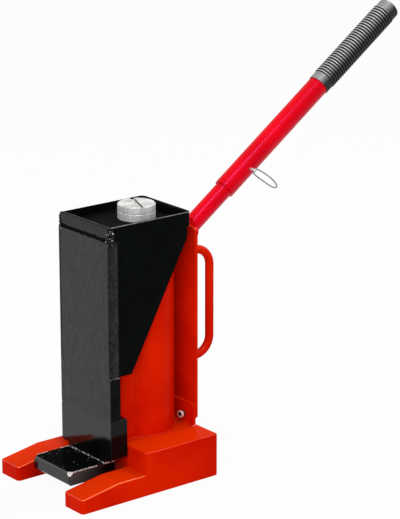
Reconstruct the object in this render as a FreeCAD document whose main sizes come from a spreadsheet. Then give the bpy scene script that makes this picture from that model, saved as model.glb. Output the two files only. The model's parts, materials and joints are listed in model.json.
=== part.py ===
import FreeCAD, Part
import math
import os
import re
import Sketcher
from FreeCAD import Placement, Rotation, Vector

# Hydraulic machine jack with a low lifting toe.
# Millimetres, +Z up, origin on the floor under the ram's axis, the toe points to -Y.
# The claw is drawn at its lowest place and stands a little raised in the rest pose.

doc = FreeCAD.newDocument("machine_jack")
sheet = doc.addObject("Spreadsheet::Sheet", "Sizes")

SIZES = (
    # forked foot
    ("prong_width", 43.0),
    ("prong_height", 30.0),
    ("prong_flat", 45.0),
    ("prong_lead", 17.8),
    ("tip_height", 20.0),
    ("block_height", 60.5),
    ("base_margin", 2.0),
    ("base_round", 5.0),
    ("base_edge", 2.0),
    ("socket_depth", 12.0),
    # pressure cylinder, oil tank and their head
    ("bore_radius", 30.0),
    ("cylinder_wall", 7.0),
    ("tank_radius", 50.5),
    ("tank_wall", 5.0),
    ("tank_height", 249.5),
    ("head_thick", 12.0),
    ("head_lap", 4.0),
    ("head_spigot", 8.0),
    ("head_edge", 1.5),
    ("gland_flange", 34.0),
    ("gland_lip", 4.0),
    ("gland_length", 32.0),
    ("seal_section", 3.0),
    ("seal_height", 5.0),
    ("filler_radius", 5.0),
    ("filler_circle", 41.0),
    ("filler_depth", 9.0),
    ("plug_key", 5.0),
    ("plug_key_depth", 3.0),
    # front guide bar
    ("rail_width", 77.6),
    ("rail_depth", 9.0),
    ("rail_drop", 1.0),
    ("rail_round", 3.0),
    # rear flange, back plate and carrying handle
    ("flange_gap", 4.5),
    ("flange_thick", 4.0),
    ("flange_height", 32.5),
    ("flange_corner", 3.0),
    ("flange_screw", 3.0),
    ("flange_screw_x", 31.5),
    ("flange_screw_lift", 13.0),
    ("screw_head_ratio", 1.667),
    ("plate_thick", 4.0),
    ("plate_width", 108.0),
    ("plate_height", 284.5),
    ("plate_corner", 5.0),
    ("plate_notch", 13.0),
    ("handle_x", 30.0),
    ("handle_reach", 39.4),
    ("handle_lift", 94.0),
    ("handle_span", 152.5),
    ("handle_bend", 25.0),
    ("handle_rod", 6.0),
    # claw
    ("claw_raised", 12.9),
    ("claw_tuck", 5.8),
    ("front_plate", 16.5),
    ("front_step", 3.0),
    ("side_plate", 3.0),
    ("side_gap", 61.0),
    ("side_foot", 21.6),
    ("side_drop", 6.4),
    ("side_round", 14.0),
    ("rim_height", 18.7),
    ("rim_thick", 6.0),
    ("rear_rim", 7.4),
    ("rear_rim_lap", 9.0),
    ("tray_round", 7.0),
    ("tray_edge", 0.8),
    ("seam_edge", 1.5),
    ("tray_clear", 3.1),
    ("tray_depth", 11.2),
    ("top_plate", 18.0),
    # toe and heel
    ("toe_width", 85.0),
    ("toe_side_gap", 11.5),
    ("toe_floor_gap", 6.1),
    ("toe_reach", 59.3),
    ("toe_thick", 18.9),
    ("toe_edge", 2.0),
    ("toe_nick", 7.0),
    ("heel_gap", 2.0),
    ("heel_depth", 27.4),
    ("heel_height", 56.0),
    ("heel_clear", 1.1),
    ("heel_corner", 3.0),
    # ram, piston and head
    ("ram_radius", 24.0),
    ("ram_neck", 17.0),
    ("ram_tail", 15.0),
    ("piston_clear", 3.6),
    ("piston_height", 22.0),
    ("piston_nut", 9.0),
    ("piston_nut_key", 41.0),
    ("ram_head_radius", 26.0),
    ("ram_head_height", 20.7),
    ("ram_head_crown", 8.5),
    ("ram_head_groove", 1.0),
    ("ram_head_slot", 6.0),
    ("ram_head_slot_depth", 2.5),
    ("ram_head_turn", 22.0),
    # pivot and rocker
    ("pivot_drop", 26.5),
    ("pivot_radius", 5.0),
    ("pivot_head", 3.0),
    ("pivot_head_radius", 8.0),
    ("pivot_ring_radius", 6.5),
    ("pivot_ring_thick", 1.5),
    ("cheek_thick", 5.0),
    ("cheek_gap", 0.7),
    ("cheek_radius", 11.5),
    ("cheek_slant", 36.9),
    ("cheek_drop", 30.0),
    ("cheek_rise", 14.0),
    ("rocker_width", 25.0),
    ("hub_radius", 11.0),
    ("hub_gap", 1.0),
    ("neck_cut", 16.5),
    ("crank", 17.0),
    ("crank_angle", 15.0),
    ("crank_width", 18.0),
    ("crank_ear", 7.5),
    ("crank_ear_shift", 0.9),
    ("crank_play", 0.6),
    ("crank_slot_in", 1.1),
    ("crank_slot_out", 1.6),
    ("eye_clear", 2.0),
    ("neck_length", 28.0),
    ("spigot_length", 24.0),
    # lever and its lock
    ("lever_angle", 35.7),
    ("stub_radius", 12.5),
    ("stub_wall", 3.0),
    ("stub_bare", 67.3),
    ("stub_past_lock", 45.0),
    ("tube_wall", 2.4),
    ("tube_length", 375.7),
    ("grip_wall", 1.9),
    ("grip_cap", 3.9),
    ("grip_length", 168.3),
    ("grip_collar", 9.0),
    ("grip_ribs", 28),
    ("grip_groove", 1.3),
    ("lock_inset", 44.0),
    ("lock_radius", 2.5),
    ("lock_out", 11.0),
    ("lock_tail", 3.0),
    ("lock_edge", 0.8),
    ("lock_eye", 2.8),
    ("loop_wire", 1.0),
    ("loop_root", 2.6),
    ("loop_bend", 2.2),
    ("loop_end", 5.6),
    ("loop_length", 26.0),
    ("loop_droop", 38.0),
    # pump
    ("block_wide", 50.0),
    ("block_wall", 5.2),
    ("block_low", 4.0),
    ("block_high", 35.0),
    ("block_edge", 2.0),
    ("block_screw", 2.5),
    ("block_screw_x", 17.0),
    ("block_screw_inset", 6.0),
    ("block_screw_bite", 12.0),
    ("barrel_radius", 8.0),
    ("barrel_foot", 6.8),
    ("barrel_bite", 11.5),
    ("barrel_drop", 74.5),
    ("plunger_radius", 5.0),
    ("plunger_length", 253.0),
    ("plunger_eye", 7.0),
    ("plunger_eye_thick", 8.0),
    ("plunger_pin", 3.0),
    ("gland_nut_key", 16.0),
    ("gland_nut_height", 12.0),
    ("pump_seal_section", 1.6),
    ("pump_seal_height", 6.0),
    ("saddle_drop", 32.0),
    ("saddle_height", 18.0),
    ("saddle_wide", 28.0),
    # check valves and release valve
    ("valve_bore", 4.5),
    ("valve_wall", 1.0),
    ("valve_seat", 6.0),
    ("valve_port", 2.5),
    ("valve_ball", 3.5),
    ("valve_plug", 7.0),
    ("spring_wire", 0.6),
    ("spring_radius", 2.7),
    ("spring_turns", 4),
    ("release_gap", 1.5),
    ("release_height", 18.5),
    ("release_radius", 4.0),
    ("release_reach", 18.0),
    ("release_stem", 10.0),
    ("knob_radius", 11.0),
    ("knob_length", 14.0),
    ("knob_flutes", 8),
    ("knob_flute", 2.2),
    # clearances
    ("run_gap", 0.05),
    ("fit_gap", 0.1),
    ("slide_gap", 0.5),
)
NAMES = {name for name, size in SIZES}
for row, (name, size) in enumerate(SIZES, 1):
    sheet.set(f"A{row}", name)
    sheet.set(f"B{row}", str(size))
    sheet.setAlias(f"B{row}", name)
doc.recompute()

# Places that several pieces share, each written once in terms of the sheet.
BLOCK_FRONT = "(tank_radius + rail_depth)"
HEEL_REAR = f"({BLOCK_FRONT} + heel_gap)"
CLAW_FRONT = f"({HEEL_REAR} + heel_depth)"
TOE_TIP = f"({CLAW_FRONT} + toe_reach)"
BASE_FRONT = f"({TOE_TIP} + prong_lead)"
BASE_GAP = "(toe_width / 2 + toe_side_gap)"
BASE_HALF = f"({BASE_GAP} + prong_width)"
FLANGE_FRONT = "(tank_radius + flange_gap)"
PLATE_FRONT = f"({FLANGE_FRONT} + flange_thick)"
PLATE_REAR = f"({PLATE_FRONT} + plate_thick)"
BASE_REAR = f"({PLATE_REAR} + base_margin)"
SOCKET_FLOOR = "(block_height - socket_depth)"
CYLINDER_RADIUS = "(bore_radius + cylinder_wall)"
TANK_BORE = "(tank_radius - tank_wall)"
TANK_TOP = "(block_height + tank_height)"
CYLINDER_TOP = f"({TANK_TOP} - head_lap)"
HEAD_TOP = f"({TANK_TOP} + head_thick)"
GLAND_BASE = f"({HEAD_TOP} - gland_length)"
GLAND_TOP = f"({HEAD_TOP} + gland_lip)"
PLATE_TOP = "(block_height + plate_height)"
PIVOT_Z = f"({PLATE_TOP} - pivot_drop)"
PIVOT_Y = f"({PLATE_REAR} + hub_radius + hub_gap)"
PUMP_Y = f"({PIVOT_Y} + crank)"
PIN_Z = f"({PIVOT_Z} + crank * tan(crank_angle))"
CLAW_INNER = "(tank_radius + slide_gap)"
CLAW_HALF = f"({CLAW_INNER} + side_plate)"
FRONT_HALF = f"({CLAW_HALF} + front_step)"
CLAW_BACK = "(tank_radius - claw_tuck)"
TRAY_BACK = f"({CLAW_BACK} + rear_rim)"
FRONT_BACK = f"({CLAW_FRONT} - front_plate)"
RIM_BACK = f"({CLAW_FRONT} - rim_thick)"
TRAY_UNDER = f"({GLAND_TOP} + tray_clear)"
TRAY_FLOOR = f"({TRAY_UNDER} + top_plate)"
CLAW_TOP = f"({TRAY_FLOOR} + tray_depth)"
FRONT_TOP = f"({CLAW_TOP} - rim_height)"
HEEL_BOTTOM = "(prong_height + heel_clear)"
HEEL_TOP = f"({HEEL_BOTTOM} + heel_height)"
SIDE_BOTTOM = f"({HEEL_TOP} + side_gap)"
SIDE_KNEE = f"({TRAY_UNDER} - side_drop)"
TOE_TOP = "(toe_floor_gap + toe_thick)"
PISTON_BOTTOM = f"({SOCKET_FLOOR} + piston_clear + piston_nut)"
PISTON_TOP = f"({PISTON_BOTTOM} + piston_height)"
CHEEK_INNER = "(rocker_width / 2 + cheek_gap)"
CHEEK_OUTER = f"({CHEEK_INNER} + cheek_thick)"
TUBE_START = "(neck_length + stub_bare)"
TUBE_END = f"({TUBE_START} + tube_length)"
TUBE_RADIUS = "(stub_radius + fit_gap + tube_wall)"
LOCK_PLACE = f"({TUBE_START} + lock_inset)"
BLOCK_REAR = f"({PUMP_Y} + barrel_foot + block_wall)"
BLOCK_HALF = "(block_wide / 2)"
BLOCK_SCREWS = [(f"{side}block_screw_x", height) for side in ("", "-")
                for height in ("block_low + block_screw_inset", "block_high - block_screw_inset")]
BARREL_LOW = "(block_high - barrel_bite)"
BARREL_TOP = f"({PIVOT_Z} - barrel_drop)"
VALVE_Z = f"({BARREL_LOW} - valve_wall - valve_bore)"
RELEASE_Y = f"({BASE_REAR} + knob_radius + release_gap)"
X = Vector(1, 0, 0)
Y = Vector(0, 1, 0)
Z = Vector(0, 0, 1)


def bound(text):
    """The same expression with each size read from the sheet."""
    return re.sub(r"[a-z][a-z_]*", lambda word: f"Sizes.{word[0]}" if word[0] in NAMES else word[0], text)


def number(text):
    """What an expression comes to at the present sizes."""
    return float(sheet.evalExpression(bound(text)))


def new_body(label):
    body = doc.addObject("PartDesign::Body", label)
    body.Label = label
    return body


def pin_point(sketch, element, point, x, y):
    """Hold one point of a sketch at a place given by two expressions."""
    for kind, text in (("DistanceX", x), ("DistanceY", y)):
        place = sketch.addConstraint(Sketcher.Constraint(kind, -1, 1, element, point, number(text)))
        sketch.setExpression(f"Constraints[{place}]", bound(text))


def outline(body, plane, loops=(), circles=(), offset="0"):
    """A sketch on one of the body's own planes, every corner and circle tied to the sheet."""
    sketch = body.newObject("Sketcher::SketchObject", f"{body.Name}_outline")
    support = next(face for face in body.Origin.OriginFeatures if face.Role == plane)
    sketch.AttachmentSupport = [(support, "")]
    sketch.MapMode = "FlatFace"
    sketch.setExpression("AttachmentOffset.Base.z", bound(offset))
    first = 0
    for corners in loops:
        spots = [Vector(number(x), number(y), 0) for x, y in corners]
        count = len(spots)
        for step, spot in enumerate(spots):
            sketch.addGeometry(Part.LineSegment(spot, spots[(step + 1) % count]))
        for step in range(count):
            follower = first + (step + 1) % count
            sketch.addConstraint(Sketcher.Constraint("Coincident", first + step, 2, follower, 1))
        for step, (x, y) in enumerate(corners):
            pin_point(sketch, first + step, 1, x, y)
        first += count
    for x, y, radius in circles:
        centre = Vector(number(x), number(y), 0)
        sketch.addGeometry(Part.Circle(centre, Z, number(radius)))
        pin_point(sketch, first, 3, x, y)
        size = sketch.addConstraint(Sketcher.Constraint("Radius", first, number(radius)))
        sketch.setExpression(f"Constraints[{size}]", bound(radius))
        first += 1
    return sketch


def feature(body, kind, sketch, length, both, back):
    made = body.newObject(f"PartDesign::{kind}", f"{body.Name}_{kind.lower()}")
    made.Profile = sketch
    made.setExpression("Length", bound(length))
    made.SideType = "Symmetric" if both else "One side"
    made.Reversed = back
    return made


def pad(body, sketch, length, both=False, back=False):
    feature(body, "Pad", sketch, length, both, back)
    doc.recompute()


def cut(body, sketch, length, both=False, back=False):
    """A pocket, which has to take material away."""
    before = body.Shape.Volume
    made = feature(body, "Pocket", sketch, length, both, back)
    doc.recompute()
    if body.Shape.Volume > before - 1e-3:
        raise RuntimeError(f"{body.Label}: a pocket cut nothing")
    return made


def turned(label, corners):
    """A body of revolution about its own Z from corners given as radius and height."""
    body = new_body(label)
    sketch = outline(body, "XZ_Plane", [corners])
    turn = body.newObject("PartDesign::Revolution", f"{label}_turn")
    turn.Profile = sketch
    turn.ReferenceAxis = (sketch, ["V_Axis"])
    turn.Angle = 360.0
    doc.recompute()
    return body


def ring(label, inner, outer, low, high):
    return turned(label, [(inner, low), (outer, low), (outer, high), (inner, high)])


def dress(body, kind, radius, chosen):
    """Fillet or chamfer the edges of the body's last feature that the test picks."""
    tip = body.Tip
    picked = [f"Edge{at}" for at, edge in enumerate(tip.Shape.Edges, 1) if chosen(edge)]
    made = body.newObject(f"PartDesign::{kind}", f"{body.Name}_{kind.lower()}")
    made.Base = (tip, picked)
    made.setExpression("Radius" if kind == "Fillet" else "Size", bound(radius))
    doc.recompute()
    if not picked or "Invalid" in made.State:
        raise RuntimeError(f"{body.Label}: no {kind.lower()} of {radius}")


def along(edge, axis):
    """Whether a straight edge runs along an axis."""
    if edge.Curve.TypeId != "Part::GeomLine":
        return False
    return abs(edge.tangentAt(edge.FirstParameter).dot(axis)) > 0.999


def centre_of(edge):
    return edge.valueAt((edge.FirstParameter + edge.LastParameter) / 2)


def near(value, text):
    return abs(value - number(text)) < 0.01


def place(body, x="0", y="0", z="0", axis=Z, angle="0"):
    """Put a piece at a place tied to the sheet, turned about one axis."""
    body.Placement = Placement(Vector(0, 0, 0), Rotation(axis, number(angle)))
    body.setExpression("Placement.Base.x", bound(x))
    body.setExpression("Placement.Base.y", bound(y))
    body.setExpression("Placement.Base.z", bound(z))


def raise_claw(*bodies):
    """The claw's pieces are drawn at its lowest place and lifted together to the rest pose."""
    for body in bodies:
        place(body, z="claw_raised")


def place_on_lever(body):
    """The lever's pieces are drawn along Z from the pivot and tipped to the lever's angle."""
    place(body, "0", PIVOT_Y, PIVOT_Z, X, "lever_angle - 90")


def hexagon(key, x="0", y="0"):
    """Corners of a hexagon from its width across flats."""
    half = 0.5 / math.cos(math.radians(30))
    turns = [math.radians(60 * step) for step in range(6)]
    return [(f"{x} + {key} * {half * math.cos(turn):.6f}", f"{y} + {key} * {half * math.sin(turn):.6f}")
            for turn in turns]


def rectangle(left, right, low, high):
    return [(left, low), (right, low), (right, high), (left, high)]


def turned_point(distance, aside, angle):
    """A point along a direction and beside it, as two expressions."""
    return (f"({distance}) * cos({angle}) - ({aside}) * sin({angle})",
            f"({distance}) * sin({angle}) + ({aside}) * cos({angle})")


# Forked foot: two tapering prongs with the toe between them, and a block that carries the column.
def make_base_foot():
    body = new_body("base_foot")
    knee = f"({BLOCK_FRONT} + prong_flat)"
    side = [(f"-{BASE_FRONT}", "0"), (BASE_REAR, "0"), (BASE_REAR, "block_height"),
            (f"-{BLOCK_FRONT}", "block_height"), (f"-{BLOCK_FRONT}", "prong_height"),
            (f"-{knee}", "prong_height"), (f"-{BASE_FRONT}", "tip_height")]
    pad(body, outline(body, "YZ_Plane", [side]), f"2 * {BASE_HALF}", both=True)
    gap = rectangle(f"-{BASE_GAP}", BASE_GAP, f"-{BASE_FRONT} - base_round", f"-{BLOCK_FRONT}")
    cut(body, outline(body, "XY_Plane", [gap]), "2 * block_height + base_round", both=True)
    dress(body, "Fillet", "base_round", lambda edge: along(edge, Z) and (
        near(centre_of(edge).y, f"-{BASE_FRONT}") or near(centre_of(edge).y, BASE_REAR)))
    dress(body, "Fillet", "base_edge", lambda edge: near(edge.BoundBox.ZMin, "block_height"))
    dress(body, "Fillet", "base_edge", lambda edge: edge.BoundBox.ZMin > number("tip_height") - 0.01
          and edge.BoundBox.YMax < number(f"-{BLOCK_FRONT}") + 0.01
          and not near(edge.BoundBox.YMin, f"-{BLOCK_FRONT}") and not near(centre_of(edge).y, f"-{knee}"))
    socket = outline(body, "XY_Plane", circles=[("0", "0", f"{CYLINDER_RADIUS} + fit_gap")],
                     offset="block_height")
    cut(body, socket, "socket_depth")
    threads = [(x, z, "block_screw + fit_gap") for x, z in BLOCK_SCREWS]
    cut(body, outline(body, "XZ_Plane", circles=threads, offset=f"-{BASE_REAR}"),
        "block_screw_bite + fit_gap", back=True)


# Pressure cylinder in the foot's socket, and the oil tank around it.
def make_column():
    ring("cylinder_tube", "bore_radius", CYLINDER_RADIUS, SOCKET_FLOOR, CYLINDER_TOP)
    ring("tank_tube", TANK_BORE, "tank_radius", "block_height", TANK_TOP)
    spigot = f"({TANK_BORE} - fit_gap)"
    seat = f"({CYLINDER_RADIUS} + fit_gap)"
    bore = "bore_radius + fit_gap"
    head = turned("cylinder_head", [
        (seat, f"{TANK_TOP} - head_spigot"), (spigot, f"{TANK_TOP} - head_spigot"), (spigot, TANK_TOP),
        ("tank_radius", TANK_TOP), ("tank_radius", HEAD_TOP), (bore, HEAD_TOP), (bore, CYLINDER_TOP),
        (seat, CYLINDER_TOP)])
    dress(head, "Chamfer", "head_edge", lambda edge: near(edge.BoundBox.XMax, "tank_radius")
          and near(edge.BoundBox.ZMin, HEAD_TOP))
    aside = "filler_circle / sqrt(2)"
    filler = [(f"-{aside}", aside, "filler_radius + fit_gap")]
    cut(head, outline(head, "XY_Plane", circles=filler, offset=HEAD_TOP), "filler_depth")
    plug = turned("filler_plug", [("0", "-filler_depth"), ("filler_radius", "-filler_depth"),
                                  ("filler_radius", "0"), ("0", "0")])
    cut(plug, outline(plug, "XY_Plane", [hexagon("plug_key")]), "plug_key_depth")
    place(plug, f"-{aside}", aside, HEAD_TOP)


# Gland bush that guides the ram, with its seal and wiper in grooves.
def make_gland():
    bore = "(ram_radius + run_gap)"
    groove = f"({bore} + seal_section)"
    seal_low = f"({GLAND_BASE} + seal_height)"
    seal_high = f"({seal_low} + seal_height)"
    wiper_low = f"({GLAND_TOP} - seal_height)"
    turned("gland_bush", [
        (bore, GLAND_BASE), ("bore_radius", GLAND_BASE), ("bore_radius", HEAD_TOP),
        ("gland_flange", HEAD_TOP), ("gland_flange", GLAND_TOP), (groove, GLAND_TOP),
        (groove, wiper_low), (bore, wiper_low), (bore, seal_high), (groove, seal_high),
        (groove, seal_low), (bore, seal_low)])
    ring("rod_seal", bore, groove, seal_low, seal_high)
    ring("rod_wiper", bore, groove, wiper_low, GLAND_TOP)


# Guide bar welded to the column's front, which the claw's heel slides on.
def make_guide_rail():
    body = new_body("guide_rail")
    height = f"{HEAD_TOP} - rail_drop - block_height"
    plan = rectangle("-rail_width / 2", "rail_width / 2", f"-{BLOCK_FRONT}", "0")
    pad(body, outline(body, "XY_Plane", [plan], offset="block_height"), height)
    dress(body, "Fillet", "rail_round", lambda edge: along(edge, Z)
          and near(centre_of(edge).y, f"-{BLOCK_FRONT}"))
    column = outline(body, "XY_Plane", circles=[("0", "0", "tank_radius")], offset="block_height")
    cut(body, column, height, back=True)


def cap_screws(label, shank, spots, seat, grip, towards_rear):
    """A group of socket head screws along Y, heads against the plane at seat."""
    body = new_body(label)
    shanks = outline(body, "XZ_Plane", circles=[(x, z, shank) for x, z in spots], offset=f"-{seat}")
    made = feature(body, "Pad", shanks, grip, False, towards_rear)
    made.AllowMultiFace = True
    body.AllowCompound = True
    doc.recompute()
    wide = f"{shank} * screw_head_ratio"
    tall = f"2 * {shank}"
    heads = outline(body, "XZ_Plane", circles=[(x, z, wide) for x, z in spots], offset=f"-{seat}")
    pad(body, heads, tall, back=not towards_rear)
    step = "-" if towards_rear else "+"
    keys = [hexagon(wide, x, z) for x, z in spots]
    keys = outline(body, "XZ_Plane", keys, offset=f"-({seat} {step} {tall})")
    cut(body, keys, shank, back=not towards_rear)


# Low flange across the foot and the tall back plate screwed to it.
def make_back():
    flange = new_body("rear_flange")
    half = "(plate_width / 2)"
    flange_top = "(block_height + flange_height)"
    face = rectangle(f"-{half}", half, "block_height", flange_top)
    pad(flange, outline(flange, "XZ_Plane", [face], offset=f"-{FLANGE_FRONT}"), "flange_thick", back=True)
    dress(flange, "Fillet", "flange_corner", lambda edge: along(edge, Y)
          and near(centre_of(edge).z, flange_top))
    spots = [(f"{side}flange_screw_x", "block_height + flange_screw_lift") for side in ("", "-")]
    holes = [(x, z, "flange_screw + fit_gap") for x, z in spots]
    cut(flange, outline(flange, "XZ_Plane", circles=holes, offset=f"-{FLANGE_FRONT}"), "flange_thick")

    plate = new_body("back_plate")
    face = [(f"-{half} + plate_notch", "block_height"), (f"{half} - plate_notch", "block_height"),
            (half, "block_height + plate_notch"), (half, PLATE_TOP),
            (f"-{half}", PLATE_TOP), (f"-{half}", "block_height + plate_notch")]
    pad(plate, outline(plate, "XZ_Plane", [face], offset=f"-{PLATE_FRONT}"), "plate_thick", back=True)
    dress(plate, "Fillet", "plate_corner", lambda edge: along(edge, Y)
          and near(centre_of(edge).z, PLATE_TOP))
    cut(plate, outline(plate, "XZ_Plane", circles=holes, offset=f"-{PLATE_FRONT}"), "plate_thick")
    cap_screws("flange_screws", "flange_screw", spots, FLANGE_FRONT, "flange_thick + plate_thick", True)


# Carrying handle: one round rod bent into a D and welded to the back plate.
def make_handle():
    body = new_body("carry_handle")
    reach = f"({PLATE_REAR} + handle_reach)"
    low_end = "(block_height + handle_lift)"
    high_end = f"({low_end} + handle_span)"
    path = outline(body, "YZ_Plane", offset="handle_x")
    root = number(PLATE_REAR)
    bend = number("handle_bend")
    far = number(reach)
    low = number(low_end)
    high = number(high_end)
    centres = [Vector(far - bend, low + bend, 0), Vector(far - bend, high - bend, 0)]
    path.addGeometry(Part.LineSegment(Vector(root, low, 0), Vector(far - bend, low, 0)))
    path.addGeometry(Part.ArcOfCircle(Part.Circle(centres[0], Z, bend), -math.pi / 2, 0))
    path.addGeometry(Part.LineSegment(Vector(far, low + bend, 0), Vector(far, high - bend, 0)))
    path.addGeometry(Part.ArcOfCircle(Part.Circle(centres[1], Z, bend), 0, math.pi / 2))
    path.addGeometry(Part.LineSegment(Vector(far - bend, high, 0), Vector(root, high, 0)))
    for step in range(4):
        path.addConstraint(Sketcher.Constraint("Tangent", step, 2, step + 1, 1))
    path.addConstraint(Sketcher.Constraint("Vertical", 2))
    path.addConstraint(Sketcher.Constraint("Horizontal", 4))
    path.addConstraint(Sketcher.Constraint("Horizontal", 0))
    pin_point(path, 0, 1, PLATE_REAR, low_end)
    pin_point(path, 4, 2, PLATE_REAR, high_end)
    for element in (1, 3):
        size = path.addConstraint(Sketcher.Constraint("Radius", element, bend))
        path.setExpression(f"Constraints[{size}]", bound("handle_bend"))
    column = path.addConstraint(Sketcher.Constraint("DistanceX", -1, 1, 2, 1, far))
    path.setExpression(f"Constraints[{column}]", bound(reach))
    rod = outline(body, "XZ_Plane", circles=[("handle_x", low_end, "handle_rod")], offset=f"-{PLATE_REAR}")
    sweep = body.newObject("PartDesign::AdditivePipe", "carry_handle_sweep")
    sweep.Profile = rod
    sweep.Spine = (path, [f"Edge{at}" for at in range(1, 6)])
    doc.recompute()


def front_edge_at(edge, height):
    """Whether an edge runs across the claw's front at a height."""
    return along(edge, X) and near(centre_of(edge).y, f"-{CLAW_FRONT}") and near(centre_of(edge).z, height)


def side_edge_at(edge, height):
    """Whether an edge runs along the right or left end of the claw's front at a height."""
    return along(edge, Y) and near(abs(centre_of(edge).x), FRONT_HALF) and near(centre_of(edge).z, height)


# Claw: front plate, two tapering side plates and a tray on top, welded into one sliding frame.
def make_claw_frame():
    front = new_body("claw_front_plate")
    plan = rectangle(f"-{FRONT_HALF}", FRONT_HALF, f"-{CLAW_FRONT}", f"-{FRONT_BACK}")
    pad(front, outline(front, "XY_Plane", [plan], offset=HEEL_TOP), f"{FRONT_TOP} - {HEEL_TOP}")
    dress(front, "Chamfer", "seam_edge",
          lambda edge: front_edge_at(edge, FRONT_TOP) or side_edge_at(edge, HEEL_TOP))

    rim = new_body("claw_front_rim")
    plan = rectangle(f"-{CLAW_HALF}", CLAW_HALF, f"-{CLAW_FRONT}", f"-{RIM_BACK}")
    pad(rim, outline(rim, "XY_Plane", [plan], offset=FRONT_TOP), "rim_height")
    dress(rim, "Chamfer", "seam_edge", lambda edge: front_edge_at(edge, FRONT_TOP))
    dress(rim, "Chamfer", "tray_edge", lambda edge: front_edge_at(edge, CLAW_TOP))

    side = [(f"-{FRONT_BACK}", SIDE_BOTTOM), (f"-{FRONT_BACK} + side_foot", SIDE_BOTTOM),
            (CLAW_BACK, SIDE_KNEE), (CLAW_BACK, CLAW_TOP), (f"-{RIM_BACK}", CLAW_TOP),
            (f"-{RIM_BACK}", FRONT_TOP), (f"-{FRONT_BACK}", FRONT_TOP)]
    for label, offset in (("claw_side_right", CLAW_INNER), ("claw_side_left", f"-{CLAW_HALF}")):
        cheek = new_body(label)
        pad(cheek, outline(cheek, "YZ_Plane", [side], offset=offset), "side_plate")
        dress(cheek, "Fillet", "side_round", lambda edge: along(edge, X)
              and near(centre_of(edge).y, CLAW_BACK) and near(centre_of(edge).z, SIDE_KNEE))
        dress(cheek, "Chamfer", "tray_edge", lambda edge: along(edge, Y)
              and near(abs(centre_of(edge).x), CLAW_HALF) and near(centre_of(edge).z, CLAW_TOP))
        raise_claw(cheek)

    top = new_body("claw_top_plate")
    profile = [(f"-{FRONT_BACK}", TRAY_UNDER), (CLAW_BACK, TRAY_UNDER), (CLAW_BACK, TRAY_FLOOR),
               (f"-{RIM_BACK}", TRAY_FLOOR), (f"-{RIM_BACK}", FRONT_TOP), (f"-{FRONT_BACK}", FRONT_TOP)]
    pad(top, outline(top, "YZ_Plane", [profile]), f"2 * {CLAW_INNER}", both=True)
    neck = outline(top, "XY_Plane", circles=[("0", "0", "ram_neck + fit_gap")], offset=TRAY_FLOOR)
    cut(top, neck, "top_plate")

    back = new_body("claw_rear_rim")
    plan = rectangle(f"-{CLAW_HALF}", CLAW_HALF, CLAW_BACK, TRAY_BACK)
    lap = outline(back, "XY_Plane", [plan], offset=f"{TRAY_FLOOR} - rear_rim_lap")
    pad(back, lap, "rear_rim_lap + tray_depth")
    dress(back, "Fillet", "tray_round", lambda edge: along(edge, Z) and near(centre_of(edge).y, TRAY_BACK))
    dress(back, "Chamfer", "tray_edge", lambda edge: near(edge.BoundBox.ZMin, CLAW_TOP)
          and not near(edge.BoundBox.YMax, CLAW_BACK))
    raise_claw(front, rim, top, back)


# Toe and heel: one forging, the toe low between the prongs and the heel wide above them.
def make_toe():
    body = new_body("claw_toe")
    heel = rectangle(f"-{CLAW_FRONT}", f"-{HEEL_REAR}", HEEL_BOTTOM, HEEL_TOP)
    pad(body, outline(body, "YZ_Plane", [heel]), f"2 * {FRONT_HALF}", both=True)
    dress(body, "Chamfer", "heel_corner", lambda edge: side_edge_at(edge, HEEL_BOTTOM))
    dress(body, "Chamfer", "seam_edge", lambda edge: side_edge_at(edge, HEEL_TOP))
    leg = [(f"-{TOE_TIP}", "toe_floor_gap"), (f"-{FRONT_BACK}", "toe_floor_gap"),
           (f"-{FRONT_BACK}", HEEL_TOP), (f"-{CLAW_FRONT}", HEEL_TOP), (f"-{CLAW_FRONT}", TOE_TOP),
           (f"-{TOE_TIP}", TOE_TOP)]
    pad(body, outline(body, "YZ_Plane", [leg]), "toe_width", both=True)
    dress(body, "Chamfer", "toe_edge", lambda edge: near(centre_of(edge).y, f"-{TOE_TIP}"))
    for side in ("", "-"):
        nick = [(f"{side}(toe_width / 2 - 2 * toe_nick)", f"-{TOE_TIP} - toe_nick"),
                (f"{side}(toe_width / 2 + toe_nick)", f"-{TOE_TIP} + 2 * toe_nick"),
                (f"{side}(toe_width / 2 + 2 * toe_nick)", f"-{TOE_TIP} - 2 * toe_nick")]
        corner = cut(body, outline(body, "XY_Plane", [nick], offset=TOE_TOP), "toe_nick")
        corner.TaperAngle = -math.degrees(math.atan(math.sqrt(0.5)))
        doc.recompute()
    raise_claw(body)


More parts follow.
